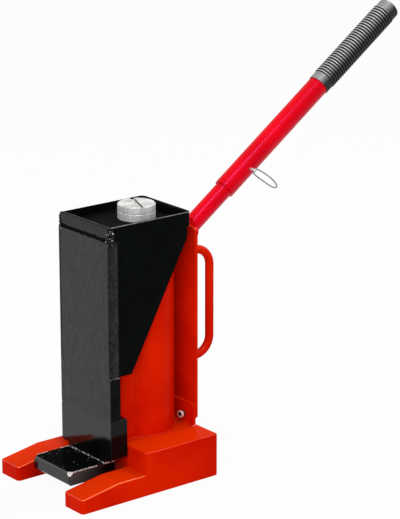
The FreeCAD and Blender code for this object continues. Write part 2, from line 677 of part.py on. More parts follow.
# Ram with its piston, and the turned head that stands above the tray.
def make_ram():
    tail_low = f"({PISTON_BOTTOM} - piston_nut)"
    top = f"({TRAY_FLOOR} + ram_head_height)"
    neck_top = f"({top} - ram_head_crown)"
    rod = turned("ram_rod", [
        ("0", tail_low), ("ram_tail", tail_low), ("ram_tail", PISTON_TOP), ("ram_radius", PISTON_TOP),
        ("ram_radius", TRAY_UNDER), ("ram_neck", TRAY_UNDER), ("ram_neck", neck_top), ("0", neck_top)])
    wall = "(bore_radius - run_gap)"
    groove = f"({wall} - seal_section)"
    seal_low = f"({PISTON_TOP} - 2 * seal_height)"
    seal_high = f"({seal_low} + seal_height)"
    guide_low = f"({PISTON_BOTTOM} + seal_height / 2)"
    guide_high = f"({guide_low} + seal_height)"
    inner = "ram_tail + fit_gap"
    piston = turned("piston", [
        (inner, PISTON_BOTTOM), (wall, PISTON_BOTTOM), (wall, guide_low), (groove, guide_low),
        (groove, guide_high), (wall, guide_high), (wall, seal_low), (groove, seal_low),
        (groove, seal_high), (wall, seal_high), (wall, PISTON_TOP), (inner, PISTON_TOP)])
    seal = ring("piston_seal", groove, wall, seal_low, seal_high)
    guide = ring("piston_guide", groove, wall, guide_low, guide_high)
    nut = new_body("piston_nut")
    face = outline(nut, "XY_Plane", [hexagon("piston_nut_key")], [("0", "0", inner)], offset=tail_low)
    pad(nut, face, "piston_nut")

    waist = f"({TRAY_FLOOR} + ram_head_height / 2)"
    socket = "ram_neck + fit_gap"
    head = turned("ram_head", [
        (socket, TRAY_FLOOR), ("ram_head_radius", TRAY_FLOOR),
        ("ram_head_radius", f"{waist} - ram_head_groove"), ("ram_head_radius - ram_head_groove", waist),
        ("ram_head_radius", f"{waist} + ram_head_groove"), ("ram_head_radius", top), ("0", top),
        ("0", neck_top), (socket, neck_top)])
    dress(head, "Chamfer", "head_edge", lambda edge: near(edge.BoundBox.XMax, "ram_head_radius")
          and near(edge.BoundBox.ZMin, top))
    half = "(ram_head_radius + slide_gap)"
    slot = rectangle(f"-{half}", half, "-ram_head_slot / 2", "ram_head_slot / 2")
    sketch = outline(head, "XY_Plane", [slot], offset=top)
    sketch.AttachmentOffset = Placement(Vector(0, 0, number(top)), Rotation(Z, -number("ram_head_turn")))
    cut(head, sketch, "ram_head_slot_depth")
    raise_claw(rod, piston, seal, guide, nut, head)


# Pivot cheeks on the back plate, the pivot pin and the ring that keeps it in.
def make_pivot():
    body = new_body("pivot_cheeks")
    body.AllowCompound = True
    web = [(PLATE_REAR, f"{PIVOT_Z} - cheek_drop"),
           (f"{PIVOT_Y} + cheek_radius * cos(cheek_slant)", f"{PIVOT_Z} - cheek_radius * sin(cheek_slant)"),
           (PIVOT_Y, f"{PIVOT_Z} + cheek_radius"), (PLATE_REAR, f"{PIVOT_Z} + cheek_rise")]
    for offset in (CHEEK_INNER, f"-{CHEEK_OUTER}"):
        pad(body, outline(body, "YZ_Plane", [web], offset=offset), "cheek_thick")
        boss = [(PIVOT_Y, PIVOT_Z, "cheek_radius")]
        pad(body, outline(body, "YZ_Plane", circles=boss, offset=offset), "cheek_thick")
    bore = outline(body, "YZ_Plane", circles=[(PIVOT_Y, PIVOT_Z, "pivot_radius + fit_gap")])
    cut(body, bore, f"2 * ({CHEEK_OUTER} + slide_gap)", both=True)
    end = f"({CHEEK_OUTER} + pivot_head)"
    pin = turned("pivot_pin", [
        ("0", f"-{end}"), ("pivot_head_radius", f"-{end}"), ("pivot_head_radius", f"-{CHEEK_OUTER}"),
        ("pivot_radius", f"-{CHEEK_OUTER}"), ("pivot_radius", end), ("0", end)])
    keeper = ring("pivot_ring", "pivot_radius + run_gap", "pivot_ring_radius",
                  CHEEK_OUTER, f"{CHEEK_OUTER} + pivot_ring_thick")
    for piece in (pin, keeper):
        place(piece, "0", PIVOT_Y, PIVOT_Z, Y, "90")


# Rocker: hub on the pivot pin, slotted fork for the plunger, and a neck with the lever's spigot.
def make_rocker():
    body = new_body("lever_rocker")
    level = "(90 - lever_angle)"
    throw = "(90 - lever_angle + crank_angle)"
    reach = "(crank / cos(crank_angle))"
    ear = f"({reach} + crank_ear_shift)"
    arm = [turned_point(far, side, throw) for far, side in rectangle("0", ear, "-crank_ear", "crank_ear")]
    pad(body, outline(body, "YZ_Plane", [arm]), "crank_width", both=True)
    eye = turned_point(ear, "0", throw)
    pad(body, outline(body, "YZ_Plane", circles=[(*eye, "crank_ear")]), "crank_width", both=True)
    pad(body, outline(body, "YZ_Plane", circles=[("0", "0", "hub_radius")]), "rocker_width", both=True)
    pad(body, outline(body, "XY_Plane", circles=[("0", "0", "stub_radius")]), "neck_length")
    fork = "2 * (plunger_radius + slide_gap)"
    cut(body, outline(body, "YZ_Plane", circles=[(*eye, "plunger_eye + eye_clear")]), fork, both=True)
    mouth = rectangle("crank - plunger_eye - slide_gap", f"{ear} + 2 * crank_ear",
                      "-2 * crank", "crank * tan(crank_angle)")
    corners = [turned_point(far, up, level) for far, up in mouth]
    cut(body, outline(body, "YZ_Plane", [corners]), fork, both=True)
    bore = outline(body, "YZ_Plane", circles=[("0", "0", "pivot_radius + run_gap")])
    cut(body, bore, "rocker_width", both=True)
    half = "(plunger_pin + crank_play)"
    ends = (f"({reach} - crank_slot_in)", f"({reach} + crank_slot_out)")
    slot = [turned_point(far, side, throw) for far, side in rectangle(*ends, f"-{half}", half)]
    cut(body, outline(body, "YZ_Plane", [slot]), "rocker_width", both=True)
    for end in ends:
        spot = turned_point(end, "0", throw)
        cut(body, outline(body, "YZ_Plane", circles=[(*spot, half)]), "rocker_width", both=True)
    clear = rectangle("-2 * hub_radius", "neck_cut", "hub_radius + hub_gap", "3 * hub_radius")
    corners = [turned_point(far, up, level) for far, up in clear]
    cut(body, outline(body, "YZ_Plane", [corners]), "2 * rocker_width", both=True)
    spigot = [("0", "0", "stub_radius - stub_wall - fit_gap")]
    pad(body, outline(body, "XY_Plane", circles=spigot, offset="neck_length"), "spigot_length")
    place_on_lever(body)


# Lever: a stub welded to the rocker, a tube slipped over it and locked by a pin, and a ribbed grip.
def make_lever():
    stub = ring("lever_stub", "stub_radius - stub_wall", "stub_radius", "neck_length",
                f"{LOCK_PLACE} + stub_past_lock")
    tube = ring("lever_tube", "stub_radius + fit_gap", TUBE_RADIUS, TUBE_START, TUBE_END)
    for piece in (stub, tube):
        cross = outline(piece, "YZ_Plane", circles=[("0", LOCK_PLACE, "lock_radius + fit_gap")])
        cut(piece, cross, f"3 * {TUBE_RADIUS}", both=True)
        place_on_lever(piece)
    bore = f"({TUBE_RADIUS} + fit_gap)"
    outer = f"({bore} + grip_wall)"
    cap_low = f"({TUBE_END} + fit_gap)"
    high = f"({cap_low} + grip_cap)"
    low = f"({high} - grip_length)"
    ribs_low = f"({low} + grip_collar)"
    ribs_run = "(grip_length - 2 * grip_collar)"
    grip = turned("lever_grip", [
        (bore, low), (outer, low), (outer, high), ("0", high), ("0", cap_low), (bore, cap_low)])
    dress(grip, "Fillet", "grip_groove", lambda edge: near(edge.BoundBox.XMax, outer))
    pitch = f"({ribs_run} / (grip_ribs - 1))"
    notch = [(f"{outer} - grip_groove", ribs_low), (f"{outer} + grip_groove", f"{ribs_low} - {pitch} / 2"),
             (f"{outer} + grip_groove", f"{ribs_low} + {pitch} / 2")]
    before = grip.Shape.Volume
    groove = grip.newObject("PartDesign::Groove", "lever_grip_groove")
    groove.Profile = outline(grip, "XZ_Plane", [notch])
    groove.ReferenceAxis = (groove.Profile[0], ["V_Axis"])
    groove.Angle = 360.0
    doc.recompute()
    if grip.Shape.Volume > before - 1:
        raise RuntimeError("lever_grip: the rib groove cut nothing")
    row = grip.newObject("PartDesign::LinearPattern", "lever_grip_ribs")
    row.Originals = [groove]
    row.Direction = (groove.Profile[0], ["V_Axis"])
    row.setExpression("Length", bound(ribs_run))
    row.setExpression("Occurrences", bound("grip_ribs"))
    grip.Tip = row
    doc.recompute()
    place_on_lever(grip)


# Lock pin through both tubes, with a spring wire loop through its eye to pull it by.
def make_lock():
    end = f"({TUBE_RADIUS} + lock_out)"
    tail = f"({TUBE_RADIUS} + lock_tail)"
    eye = f"({end} - lock_eye)"
    blunt = "lock_radius - lock_edge"
    pin = turned("lock_pin", [
        ("0", f"-{tail}"), (blunt, f"-{tail}"), ("lock_radius", f"-{tail} + lock_edge"),
        ("lock_radius", f"{end} - lock_edge"), (blunt, end), ("0", end)])
    cross = outline(pin, "XZ_Plane", circles=[("0", eye, "loop_wire + fit_gap")])
    cut(pin, cross, "4 * lock_radius", both=True)
    angle = math.radians(number("lever_angle"))
    lever = Vector(0, math.cos(angle), math.sin(angle))
    spot = Vector(0, number(PIVOT_Y), number(PIVOT_Z)) + lever * number(LOCK_PLACE)
    pin.Placement = Placement(spot, Rotation(lever.cross(X), lever, X, "ZYX"))

    body = new_body("lock_loop")
    root = number("loop_root")
    bend = number("loop_bend")
    wide = number("loop_end")
    length = number("loop_length")
    apart = math.hypot(root, length - bend)
    side = math.acos((wide - bend) / apart) - math.atan2(length - bend, root)
    foot = math.pi / 2
    slope = Vector(math.cos(side), math.sin(side), 0)
    back = Vector(-slope.x, slope.y, 0)
    knees = [Vector(root, bend, 0), Vector(-root, bend, 0)]
    crown = Vector(0, length, 0)
    path = outline(body, "XY_Plane")
    path.addGeometry(Part.LineSegment(Vector(number("fit_gap"), 0, 0), Vector(root, 0, 0)))
    path.addGeometry(Part.ArcOfCircle(Part.Circle(knees[0], Z, bend), -foot, side))
    path.addGeometry(Part.LineSegment(knees[0] + slope * bend, crown + slope * wide))
    path.addGeometry(Part.ArcOfCircle(Part.Circle(crown, Z, wide), side, math.pi - side))
    path.addGeometry(Part.LineSegment(crown + back * wide, knees[1] + back * bend))
    path.addGeometry(Part.ArcOfCircle(Part.Circle(knees[1], Z, bend), math.pi - side, math.pi + foot))
    path.addGeometry(Part.LineSegment(Vector(-root, 0, 0), Vector(-number("fit_gap"), 0, 0)))
    for step in range(6):
        path.addConstraint(Sketcher.Constraint("Tangent", step, 2, step + 1, 1))
    pin_point(path, 0, 1, "fit_gap", "0")
    pin_point(path, 6, 2, "-fit_gap", "0")
    pin_point(path, 1, 3, "loop_root", "loop_bend")
    pin_point(path, 5, 3, "-loop_root", "loop_bend")
    pin_point(path, 3, 3, "0", "loop_length")
    for element, radius in ((1, "loop_bend"), (3, "loop_end"), (5, "loop_bend")):
        size = path.addConstraint(Sketcher.Constraint("Radius", element, number(radius)))
        path.setExpression(f"Constraints[{size}]", bound(radius))
    wire = outline(body, "YZ_Plane", circles=[("0", "0", "loop_wire")], offset="fit_gap")
    sweep = body.newObject("PartDesign::AdditivePipe", "lock_loop_sweep")
    sweep.Profile = wire
    sweep.Spine = (path, [f"Edge{at}" for at in range(1, 8)])
    doc.recompute()
    droop = math.radians(number("loop_droop"))
    beside = Vector(0, math.sin(angle), -math.cos(angle))
    outward = X * math.cos(droop) + beside * math.sin(droop)
    turn = Rotation(lever, outward, lever.cross(outward), "XYZ")
    body.Placement = Placement(spot + X * number(eye), turn)


# Pump block behind the foot, with bores for the barrel, the two check valves and the release valve.
def make_pump_block():
    body = new_body("pump_block")
    plan = rectangle(f"-{BLOCK_HALF}", BLOCK_HALF, BASE_REAR, BLOCK_REAR)
    pad(body, outline(body, "XY_Plane", [plan], offset="block_low"), "block_high - block_low")
    dress(body, "Chamfer", "block_edge", lambda edge: along(edge, Z)
          and near(centre_of(edge).y, BLOCK_REAR))
    barrel = outline(body, "XY_Plane", circles=[("0", PUMP_Y, "barrel_foot + fit_gap")], offset="block_high")
    cut(body, barrel, "barrel_bite")
    port = outline(body, "XY_Plane", circles=[("0", PUMP_Y, "valve_port - slide_gap")], offset="block_high")
    cut(body, port, f"block_high - {VALVE_Z}")
    for offset, back in ((BLOCK_HALF, False), (f"-{BLOCK_HALF}", True)):
        valve = outline(body, "YZ_Plane", circles=[(PUMP_Y, VALVE_Z, "valve_bore")], offset=offset)
        cut(body, valve, f"{BLOCK_HALF} - valve_seat", back=back)
    cross = outline(body, "YZ_Plane", circles=[(PUMP_Y, VALVE_Z, "valve_port")])
    cut(body, cross, "2 * valve_seat", both=True)
    release = [(RELEASE_Y, "release_height", "release_radius + run_gap")]
    cut(body, outline(body, "YZ_Plane", circles=release, offset=BLOCK_HALF), "release_reach + slide_gap")
    holes = [(x, z, "block_screw + fit_gap") for x, z in BLOCK_SCREWS]
    cut(body, outline(body, "XZ_Plane", circles=holes, offset=f"-{BLOCK_REAR}"),
        f"{BLOCK_REAR} - {BASE_REAR}", back=True)
    sinks = [(x, z, "block_screw * screw_head_ratio + slide_gap") for x, z in BLOCK_SCREWS]
    cut(body, outline(body, "XZ_Plane", circles=sinks, offset=f"-{BLOCK_REAR}"), "2 * block_screw", back=True)
    seat = f"({BLOCK_REAR} - 2 * block_screw)"
    grip = f"{seat} - {BASE_REAR} + block_screw_bite"
    cap_screws("pump_screws", "block_screw", BLOCK_SCREWS, seat, grip, False)


# Pump barrel, its seal and gland nut, and the saddle that steadies it on the back plate.
def make_pump():
    bore = "(plunger_radius + run_gap)"
    groove = f"({bore} + pump_seal_section)"
    seal_low = f"({BARREL_TOP} - pump_seal_height)"
    barrel = turned("pump_barrel", [
        (bore, BARREL_LOW), ("barrel_foot", BARREL_LOW), ("barrel_foot", "block_high"),
        ("barrel_radius", "block_high"), ("barrel_radius", BARREL_TOP), (groove, BARREL_TOP),
        (groove, seal_low), (bore, seal_low)])
    seal = ring("pump_seal", bore, groove, seal_low, BARREL_TOP)
    nut = new_body("pump_gland_nut")
    face = outline(nut, "XY_Plane", [hexagon("gland_nut_key")], [("0", "0", bore)], offset=BARREL_TOP)
    pad(nut, face, "gland_nut_height")

    saddle = new_body("barrel_saddle")
    saddle_low = f"{BARREL_TOP} - saddle_drop"
    plan = rectangle("-saddle_wide / 2", "saddle_wide / 2", PLATE_REAR, PUMP_Y)
    pad(saddle, outline(saddle, "XY_Plane", [plan], offset=saddle_low), "saddle_height")
    channel = [("0", PUMP_Y, "barrel_radius + fit_gap")]
    cut(saddle, outline(saddle, "XY_Plane", circles=channel, offset=saddle_low), "saddle_height", back=True)

    plunger_low = f"({PIN_Z} - plunger_length)"
    plunger = turned("pump_plunger", [
        ("0", plunger_low), ("plunger_radius", plunger_low), ("plunger_radius", PIN_Z), ("0", PIN_Z)])
    eye = outline(plunger, "YZ_Plane", circles=[("0", PIN_Z, "plunger_eye")])
    pad(plunger, eye, "plunger_eye_thick", both=True)
    cross = outline(plunger, "YZ_Plane", circles=[("0", PIN_Z, "plunger_pin + run_gap")])
    cut(plunger, cross, "4 * plunger_radius", both=True)
    for piece in (barrel, seal, nut, plunger):
        place(piece, "0", PUMP_Y)
    half = "(crank_width / 2 - slide_gap)"
    pin = turned("plunger_pin", [("0", f"-{half}"), ("plunger_pin", f"-{half}"), ("plunger_pin", half),
                                 ("0", half)])
    place(pin, "0", PUMP_Y, PIN_Z, Y, "90")


# Suction and delivery valves: a ball on its seat, a light spring and a screwed plug on each side.
def make_valves():
    plugs = new_body("valve_plugs")
    plugs.AllowCompound = True
    axis = (PUMP_Y, VALVE_Z)
    ball_x = "(valve_seat + sqrt(valve_ball ^ 2 - valve_port ^ 2) + run_gap)"
    rise = "(sqrt((valve_ball + spring_wire) ^ 2 - spring_radius ^ 2) - spring_wire)"
    spring_low = f"({ball_x} + {rise} + run_gap)"
    spring_high = f"({BLOCK_HALF} - valve_plug)"
    for label, sign in (("suction", "-"), ("delivery", "")):
        ball = doc.addObject("Part::Sphere", f"{label}_ball")
        ball.Label = f"{label}_ball"
        ball.setExpression("Radius", bound("valve_ball"))
        place(ball, f"{sign}{ball_x}", *axis)
        coil = new_body(f"{label}_spring")
        section = outline(coil, "XZ_Plane", circles=[("spring_radius", "spring_wire", "spring_wire")])
        helix = coil.newObject("PartDesign::AdditiveHelix", f"{label}_coil")
        helix.Profile = section
        helix.ReferenceAxis = (section, ["V_Axis"])
        helix.Mode = "height-turns-angle"
        helix.setExpression("Height", bound(f"{spring_high} - {spring_low} - 2 * spring_wire"))
        helix.setExpression("Turns", bound("spring_turns"))
        doc.recompute()
        place(coil, f"{sign}{spring_low}", *axis, Y, f"{sign}90")
        offset = f"{sign}{BLOCK_HALF}"
        plug = outline(plugs, "YZ_Plane", circles=[(*axis, "valve_bore - fit_gap")], offset=offset)
        pad(plugs, plug, "valve_plug", back=not sign)
        key = outline(plugs, "YZ_Plane", [hexagon("plug_key", *axis)], offset=offset)
        cut(plugs, key, "plug_key_depth", back=bool(sign))


# Release valve: a spindle with a needle tip and the fluted knob pressed on it.
def make_release():
    tip = f"({BLOCK_HALF} - release_reach)"
    low = f"({BLOCK_HALF} + release_stem)"
    middle = f"({low} + knob_length / 2)"
    end = f"({low} + knob_length)"
    spindle = turned("release_spindle", [
        ("0", tip), ("release_radius", f"{tip} + release_radius"), ("release_radius", middle), ("0", middle)])
    bore = "release_radius + fit_gap"
    knob = turned("release_knob", [
        (bore, low), ("knob_radius", low), ("knob_radius", end), ("0", end), ("0", middle), (bore, middle)])
    groove = outline(knob, "XY_Plane", circles=[("knob_radius", "0", "knob_flute")], offset=low)
    flute = cut(knob, groove, "knob_length", back=True)
    flutes = knob.newObject("PartDesign::PolarPattern", "release_flutes")
    flutes.Originals = [flute]
    flutes.Axis = (groove, ["N_Axis"])
    flutes.Angle = 360.0
    flutes.setExpression("Occurrences", bound("knob_flutes"))
    knob.Tip = flutes
    doc.recompute()
    for piece in (spindle, knob):
        place(piece, "0", RELEASE_Y, "release_height", Y, "90")


make_base_foot()
make_column()
make_gland()
make_guide_rail()
make_back()
make_handle()
make_claw_frame()
make_toe()
make_ram()
make_pivot()
make_rocker()
make_lever()
make_lock()
make_pump_block()
make_pump()
make_valves()
make_release()
doc.recompute()

pieces = [item for item in doc.Objects if item.TypeId in ("PartDesign::Body", "Part::Sphere")]
for item in doc.Objects:
    if "Invalid" in item.State or "Error" in item.State:
        raise RuntimeError(f"{item.Label}: {item.State}")
for piece in pieces:
    if piece.Shape.isNull() or not piece.Shape.isValid() or not piece.Shape.Solids:
        raise RuntimeError(f"{piece.Label}: no valid solid")
os.makedirs("parts", exist_ok=True)
for piece in pieces:
    piece.Shape.exportStep(f"parts/{piece.Label}.step")
    print(piece.Label, len(piece.Shape.Solids), round(piece.Shape.Volume, 1))
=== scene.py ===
import json
import math

import bpy
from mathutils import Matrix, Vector


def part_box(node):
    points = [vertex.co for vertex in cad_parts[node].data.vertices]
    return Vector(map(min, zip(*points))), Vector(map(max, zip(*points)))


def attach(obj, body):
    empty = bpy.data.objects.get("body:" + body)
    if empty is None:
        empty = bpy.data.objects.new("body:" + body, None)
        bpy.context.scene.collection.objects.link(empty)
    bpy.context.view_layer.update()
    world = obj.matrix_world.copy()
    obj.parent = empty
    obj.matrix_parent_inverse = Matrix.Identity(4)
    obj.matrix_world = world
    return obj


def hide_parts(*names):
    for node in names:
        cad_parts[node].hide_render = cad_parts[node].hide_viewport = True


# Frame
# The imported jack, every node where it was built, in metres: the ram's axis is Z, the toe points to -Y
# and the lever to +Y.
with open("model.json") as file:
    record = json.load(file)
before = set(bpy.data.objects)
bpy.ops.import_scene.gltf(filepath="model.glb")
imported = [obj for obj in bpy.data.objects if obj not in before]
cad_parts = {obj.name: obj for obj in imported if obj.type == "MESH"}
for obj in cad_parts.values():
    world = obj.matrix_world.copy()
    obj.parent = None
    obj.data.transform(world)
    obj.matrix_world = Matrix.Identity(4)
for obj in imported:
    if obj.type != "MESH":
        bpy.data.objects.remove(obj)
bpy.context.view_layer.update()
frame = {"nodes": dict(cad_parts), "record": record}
nodes = frame["nodes"]
MM = 0.001

# Forked foot
# One heavy steel casting: a block under the column and two prongs that taper beside the toe.
# It is dipped in red enamel, which pools into slightly deeper and brighter patches as it is baked.
# The first two reds are the enamel's own drift; the third is painted light, laid on level faces.
RED_TONES = ("#CE1200", "#E02100", "#D82E00")
ENAMEL_POOL = 70 * MM
ENAMEL_SHEEN = 9 * MM
# The orange peel of real enamel is finer, and is drawn coarser so that it shows.
ENAMEL_PEEL = 6 * MM
ENAMEL_PEEL_DEPTH = 0.01 * MM
TONE_SPAN = (0.35, 0.65)
SHEEN_SPAN = (0.3, 0.7)
# How far a face looks up or sideways, of one at most, where it counts as rounded, level or turned aside.
ROUND_FROM = 0.4
ROUND_TO = 0.92
LEVEL = 0.95
ASIDE = 0.35
FACING_SOFT = 0.1
PRONG_ROOT = -62 * MM
PRONG_EDGE_GLOSS = 1.0
# The colour sockets of a Mix node, which shares their names with its number sockets.
TONE_A, TONE_B, TONE = 6, 7, 2


def linear(code):
    """An sRGB hex colour as linear red, green, blue and alpha."""
    shares = [int(code[at:at + 2], 16) / 255 for at in (1, 3, 5)]
    lights = [share / 12.92 if share <= 0.04045 else ((share + 0.055) / 1.055) ** 2.4 for share in shares]
    return (*lights, 1.0)


def feed(node, sockets):
    """Give each socket a value, or a link from a socket or from the first output of a node."""
    for key, value in sockets.items():
        if isinstance(value, bpy.types.Node):
            value = value.outputs[0]
        if isinstance(value, bpy.types.NodeSocket):
            node.id_data.links.new(value, node.inputs[key])
        else:
            node.inputs[key].default_value = value


def add(tree, kind, sockets, **settings):
    """Add a node with its settings, values and links."""
    node = tree.nodes.new(kind)
    for name, value in settings.items():
        setattr(node, name, value)
    feed(node, sockets)
    return node


def speckle(place, size, span, to=(0.0, 1.0), detail=2.0):
    """Scattered marks of about one size: a noise between two limits, spread over a range of values."""
    noise = add(place.id_data, "ShaderNodeTexNoise", {"Vector": place, "Scale": 1 / size, "Detail": detail})
    return add(place.id_data, "ShaderNodeMapRange", {"Value": noise, "From Min": span[0], "From Max": span[1],
                                                     "To Min": to[0], "To Max": to[1]})


def new_finish(name, tones, patch, rough, sheen, grain, depth):
    """A finish of two tones in patches, with a roughness that varies and a fine raised grain."""
    material = bpy.data.materials.new(name)
    material.use_nodes = True
    tree = material.node_tree
    place = add(tree, "ShaderNodeTexCoord", {}).outputs["Object"]
    share = speckle(place, patch, TONE_SPAN, detail=3.0)
    tone = add(tree, "ShaderNodeMix", {"Factor": share, TONE_A: linear(tones[0]), TONE_B: linear(tones[1])},
               data_type="RGBA")
    fine = add(tree, "ShaderNodeTexNoise", {"Vector": place, "Scale": 1 / grain, "Detail": 2.0})
    raised = add(tree, "ShaderNodeBump", {"Height": fine, "Distance": depth})
    feed(tree.nodes["Principled BSDF"], {"Base Color": tone.outputs[TONE], "Normal": raised,
                                         "Roughness": speckle(place, sheen, SHEEN_SPAN, rough)})
    return material


def opened(material):
    """The shader and the object coordinates of a finish."""
    inside = material.node_tree.nodes
    return inside["Principled BSDF"], inside["Texture Coordinate"].outputs["Object"]


def above(value, least, soft=0.2 * MM):
    """A mask: one where a value is over a limit, nought where it is under it by a soft step."""
    return add(value.id_data, "ShaderNodeMapRange", {"Value": value, "From Min": least - soft,
                                                     "From Max": least})


def below(value, most):
    """A mask: one where a value is under a limit."""
    return add(value.id_data, "ShaderNodeMath", {0: value, 1: most}, operation="LESS_THAN")


def both(one, other):
    """The product of two masks."""
    return add(one.id_data, "ShaderNodeMath", {0: one, 1: other}, operation="MULTIPLY")


def gloss_where(shader, mask, level):
    """Another level of gloss where a mask says so, over the level that the shader has."""
    socket = shader.inputs["Specular IOR Level"]
    old = socket.links[0].from_socket if socket.links else socket.default_value
    new = add(shader.id_data, "ShaderNodeMapRange", {"Value": mask, "To Min": old, "To Max": level})
    feed(shader, {"Specular IOR Level": new})


def tone_where(shader, mask, code):
    """Another colour where a mask says so, over the colour that the shader has."""
    old = shader.inputs["Base Color"].links[0].from_socket
    new = add(shader.id_data, "ShaderNodeMix", {"Factor": mask, TONE_A: old, TONE_B: linear(code)},
              data_type="RGBA")
    feed(shader, {"Base Color": new.outputs[TONE]})


def places(place):
    """The distance from the mid-plane, the depth and the height of a point or a direction."""
    spot = add(place.id_data, "ShaderNodeSeparateXYZ", {0: place}).outputs
    return add(place.id_data, "ShaderNodeMath", {0: spot["X"]}, operation="ABSOLUTE"), spot["Y"], spot["Z"]


def facing_up(place):
    """How far a face looks up: one when it is level, nought when it is upright."""
    return add(place.id_data, "ShaderNodeSeparateXYZ", {0: place.node.outputs["Normal"]}).outputs["Z"]


def round_edge(place):
    """A mask of the rounded upper edges, whose faces lean between upright and level."""
    up = facing_up(place)
    return both(above(up, ROUND_FROM, FACING_SOFT), below(up, ROUND_TO))


def enamel(name, tones, rough, level, edge_level):
    """Baked enamel: the eye sees a slow drift of red with a faint orange peel and glossy round edges.
    Level faces take a warmer red, a painted light, as if lit from above."""
    material = new_finish(name, tones, ENAMEL_POOL, rough, ENAMEL_SHEEN, ENAMEL_PEEL, ENAMEL_PEEL_DEPTH)
    shader, place = opened(material)
    feed(shader, {"Specular IOR Level": level})
    gloss_where(shader, round_edge(place), edge_level)
    # Painted light: level faces take the warmer third tone, as if lit from above.
    tone_where(shader, above(facing_up(place), LEVEL, FACING_SOFT), tones[2])
    return material


def dress(material, *names):
    """Give CAD nodes one finish."""
    for name in names:
        slots = nodes[name].data.materials
        slots.clear()
        slots.append(material)


red_enamel = enamel("red_baked_enamel", RED_TONES, rough=(0.18, 0.28), level=0.015, edge_level=0.36)
shader, place = opened(red_enamel)
feed(shader, {"Specular Tint": linear("#FFB48C")})
prong_edge = both(below(places(place)[1], PRONG_ROOT), round_edge(place))
gloss_where(shader, prong_edge, PRONG_EDGE_GLOSS)
# Painted highlight: the rounded side edges of the prongs take a light orange, for the line of lamp light
# along them.
aside = above(places(place.node.outputs["Normal"])[0], ASIDE, FACING_SOFT)
tone_where(shader, both(prong_edge, aside), "#FF6434")
dress(red_enamel, "base_foot")

# Column
# The round oil tank with its head and the flat guide bar down its front, welded to the foot and to
# each other with a beaded fillet and painted over with the foot. The pressure cylinder is inside.
SIDES = (1, -1)
X, Y, Z = Vector((1, 0, 0)), Vector((0, 1, 0)), Vector((0, 0, 1))
BEAD_RADIUS = 2.4 * MM
BEAD_PITCH = 4.5 * MM
BEAD_STEPS = 6
BEAD_SIDES = 10
BEAD_RIPPLE = 0.35
BEAD_LUMP = 0.9 * MM
RING_STEPS = 96


def new_tree(name, **sizes):
    """An empty tree of geometry nodes, and its inputs: a starting mesh, named sizes and a material."""
    tree = bpy.data.node_groups.new(name, "GeometryNodeTree")
    for label, kind in {"Geometry": "Geometry", **sizes, "Material": "Material"}.items():
        tree.interface.new_socket(label, in_out="INPUT", socket_type=f"NodeSocket{kind}")
    tree.interface.new_socket("Geometry", in_out="OUTPUT", socket_type="NodeSocketGeometry")
    return tree, add(tree, "NodeGroupInput", {}).outputs


def close_tree(tree, given, grown, smooth=True):
    """End a tree: smooth or flat faces, real geometry instead of instances, and the material."""
    shaded = add(tree, "GeometryNodeSetShadeSmooth", {"Geometry": grown, "Shade Smooth": smooth})
    real = add(tree, "GeometryNodeRealizeInstances", {"Geometry": shaded})
    coat = add(tree, "GeometryNodeSetMaterial", {"Geometry": real, "Material": given["Material"]})
    add(tree, "NodeGroupOutput", {"Geometry": coat})
    return tree


def weld_tree():
    """A fillet weld along a line: overlapping ripples of a round bead with a lumpy skin."""
    tree, given = new_tree("weld_bead", Radius="Float", Pitch="Float", Ripple="Float", Lump="Float",
                           Seed="Float")
    line = add(tree, "GeometryNodeMeshToCurve", {"Mesh": given["Geometry"]})
    step = add(tree, "ShaderNodeMath", {0: given["Pitch"], 1: float(BEAD_STEPS)}, operation="DIVIDE")
    fine = add(tree, "GeometryNodeResampleCurve", {"Curve": line, "Length": step}, mode="LENGTH")
    along = add(tree, "GeometryNodeSplineParameter", {}).outputs["Length"]
    count = add(tree, "ShaderNodeMath", {0: along, 1: given["Pitch"]}, operation="DIVIDE")
    saw = add(tree, "ShaderNodeMath", {0: count}, operation="FRACT")
    curved = add(tree, "ShaderNodeMath", {0: saw, 1: 2.0}, operation="POWER")
    sunk = add(tree, "ShaderNodeMath", {0: curved, 1: given["Ripple"]}, operation="MULTIPLY")
    share = add(tree, "ShaderNodeMath", {0: 1.0, 1: sunk}, operation="SUBTRACT")
    size = add(tree, "ShaderNodeMath", {0: share, 1: given["Radius"]}, operation="MULTIPLY")
    section = add(tree, "GeometryNodeCurvePrimitiveCircle", {"Resolution": BEAD_SIDES, "Radius": 1.0})
    bead = add(tree, "GeometryNodeCurveToMesh", {"Curve": fine, "Profile Curve": section, "Scale": size,
                                                 "Fill Caps": True})
    grain = add(tree, "ShaderNodeMath", {0: 1.0, 1: given["Pitch"]}, operation="DIVIDE")
    lumps = add(tree, "ShaderNodeTexNoise", {"W": given["Seed"], "Scale": grain, "Detail": 2.0},
                noise_dimensions="4D")
    rise = add(tree, "ShaderNodeMapRange", {"Value": lumps, "To Min": -1.0, "To Max": 1.0})
    height = add(tree, "ShaderNodeMath", {0: rise, 1: given["Lump"]}, operation="MULTIPLY")
    outward = add(tree, "GeometryNodeInputNormal", {})
    shift = add(tree, "ShaderNodeVectorMath", {0: outward, "Scale": height}, operation="SCALE")
    lumpy = add(tree, "GeometryNodeSetPosition", {"Geometry": bead, "Offset": shift})
    return close_tree(tree, given, lumpy)


def grow(name, tree, start, sizes, body):
    """Run a tree on a starting mesh, keep the result as a plain mesh and let it ride on a body."""
    piece = bpy.data.objects.new(name, start)
    bpy.context.scene.collection.objects.link(piece)
    modifier = piece.modifiers.new(tree.name, "NODES")
    modifier.node_group = tree
    identifiers = {item.name: item.identifier for item in tree.interface.items_tree if item.in_out == "INPUT"}
    for label, value in sizes.items():
        modifier[identifiers[label]] = value
    view = bpy.context.evaluated_depsgraph_get()
    finished = bpy.data.meshes.new_from_object(piece.evaluated_get(view))
    piece.modifiers.clear()
    piece.data = finished
    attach(piece, body)
    return piece


weld_bead = weld_tree()


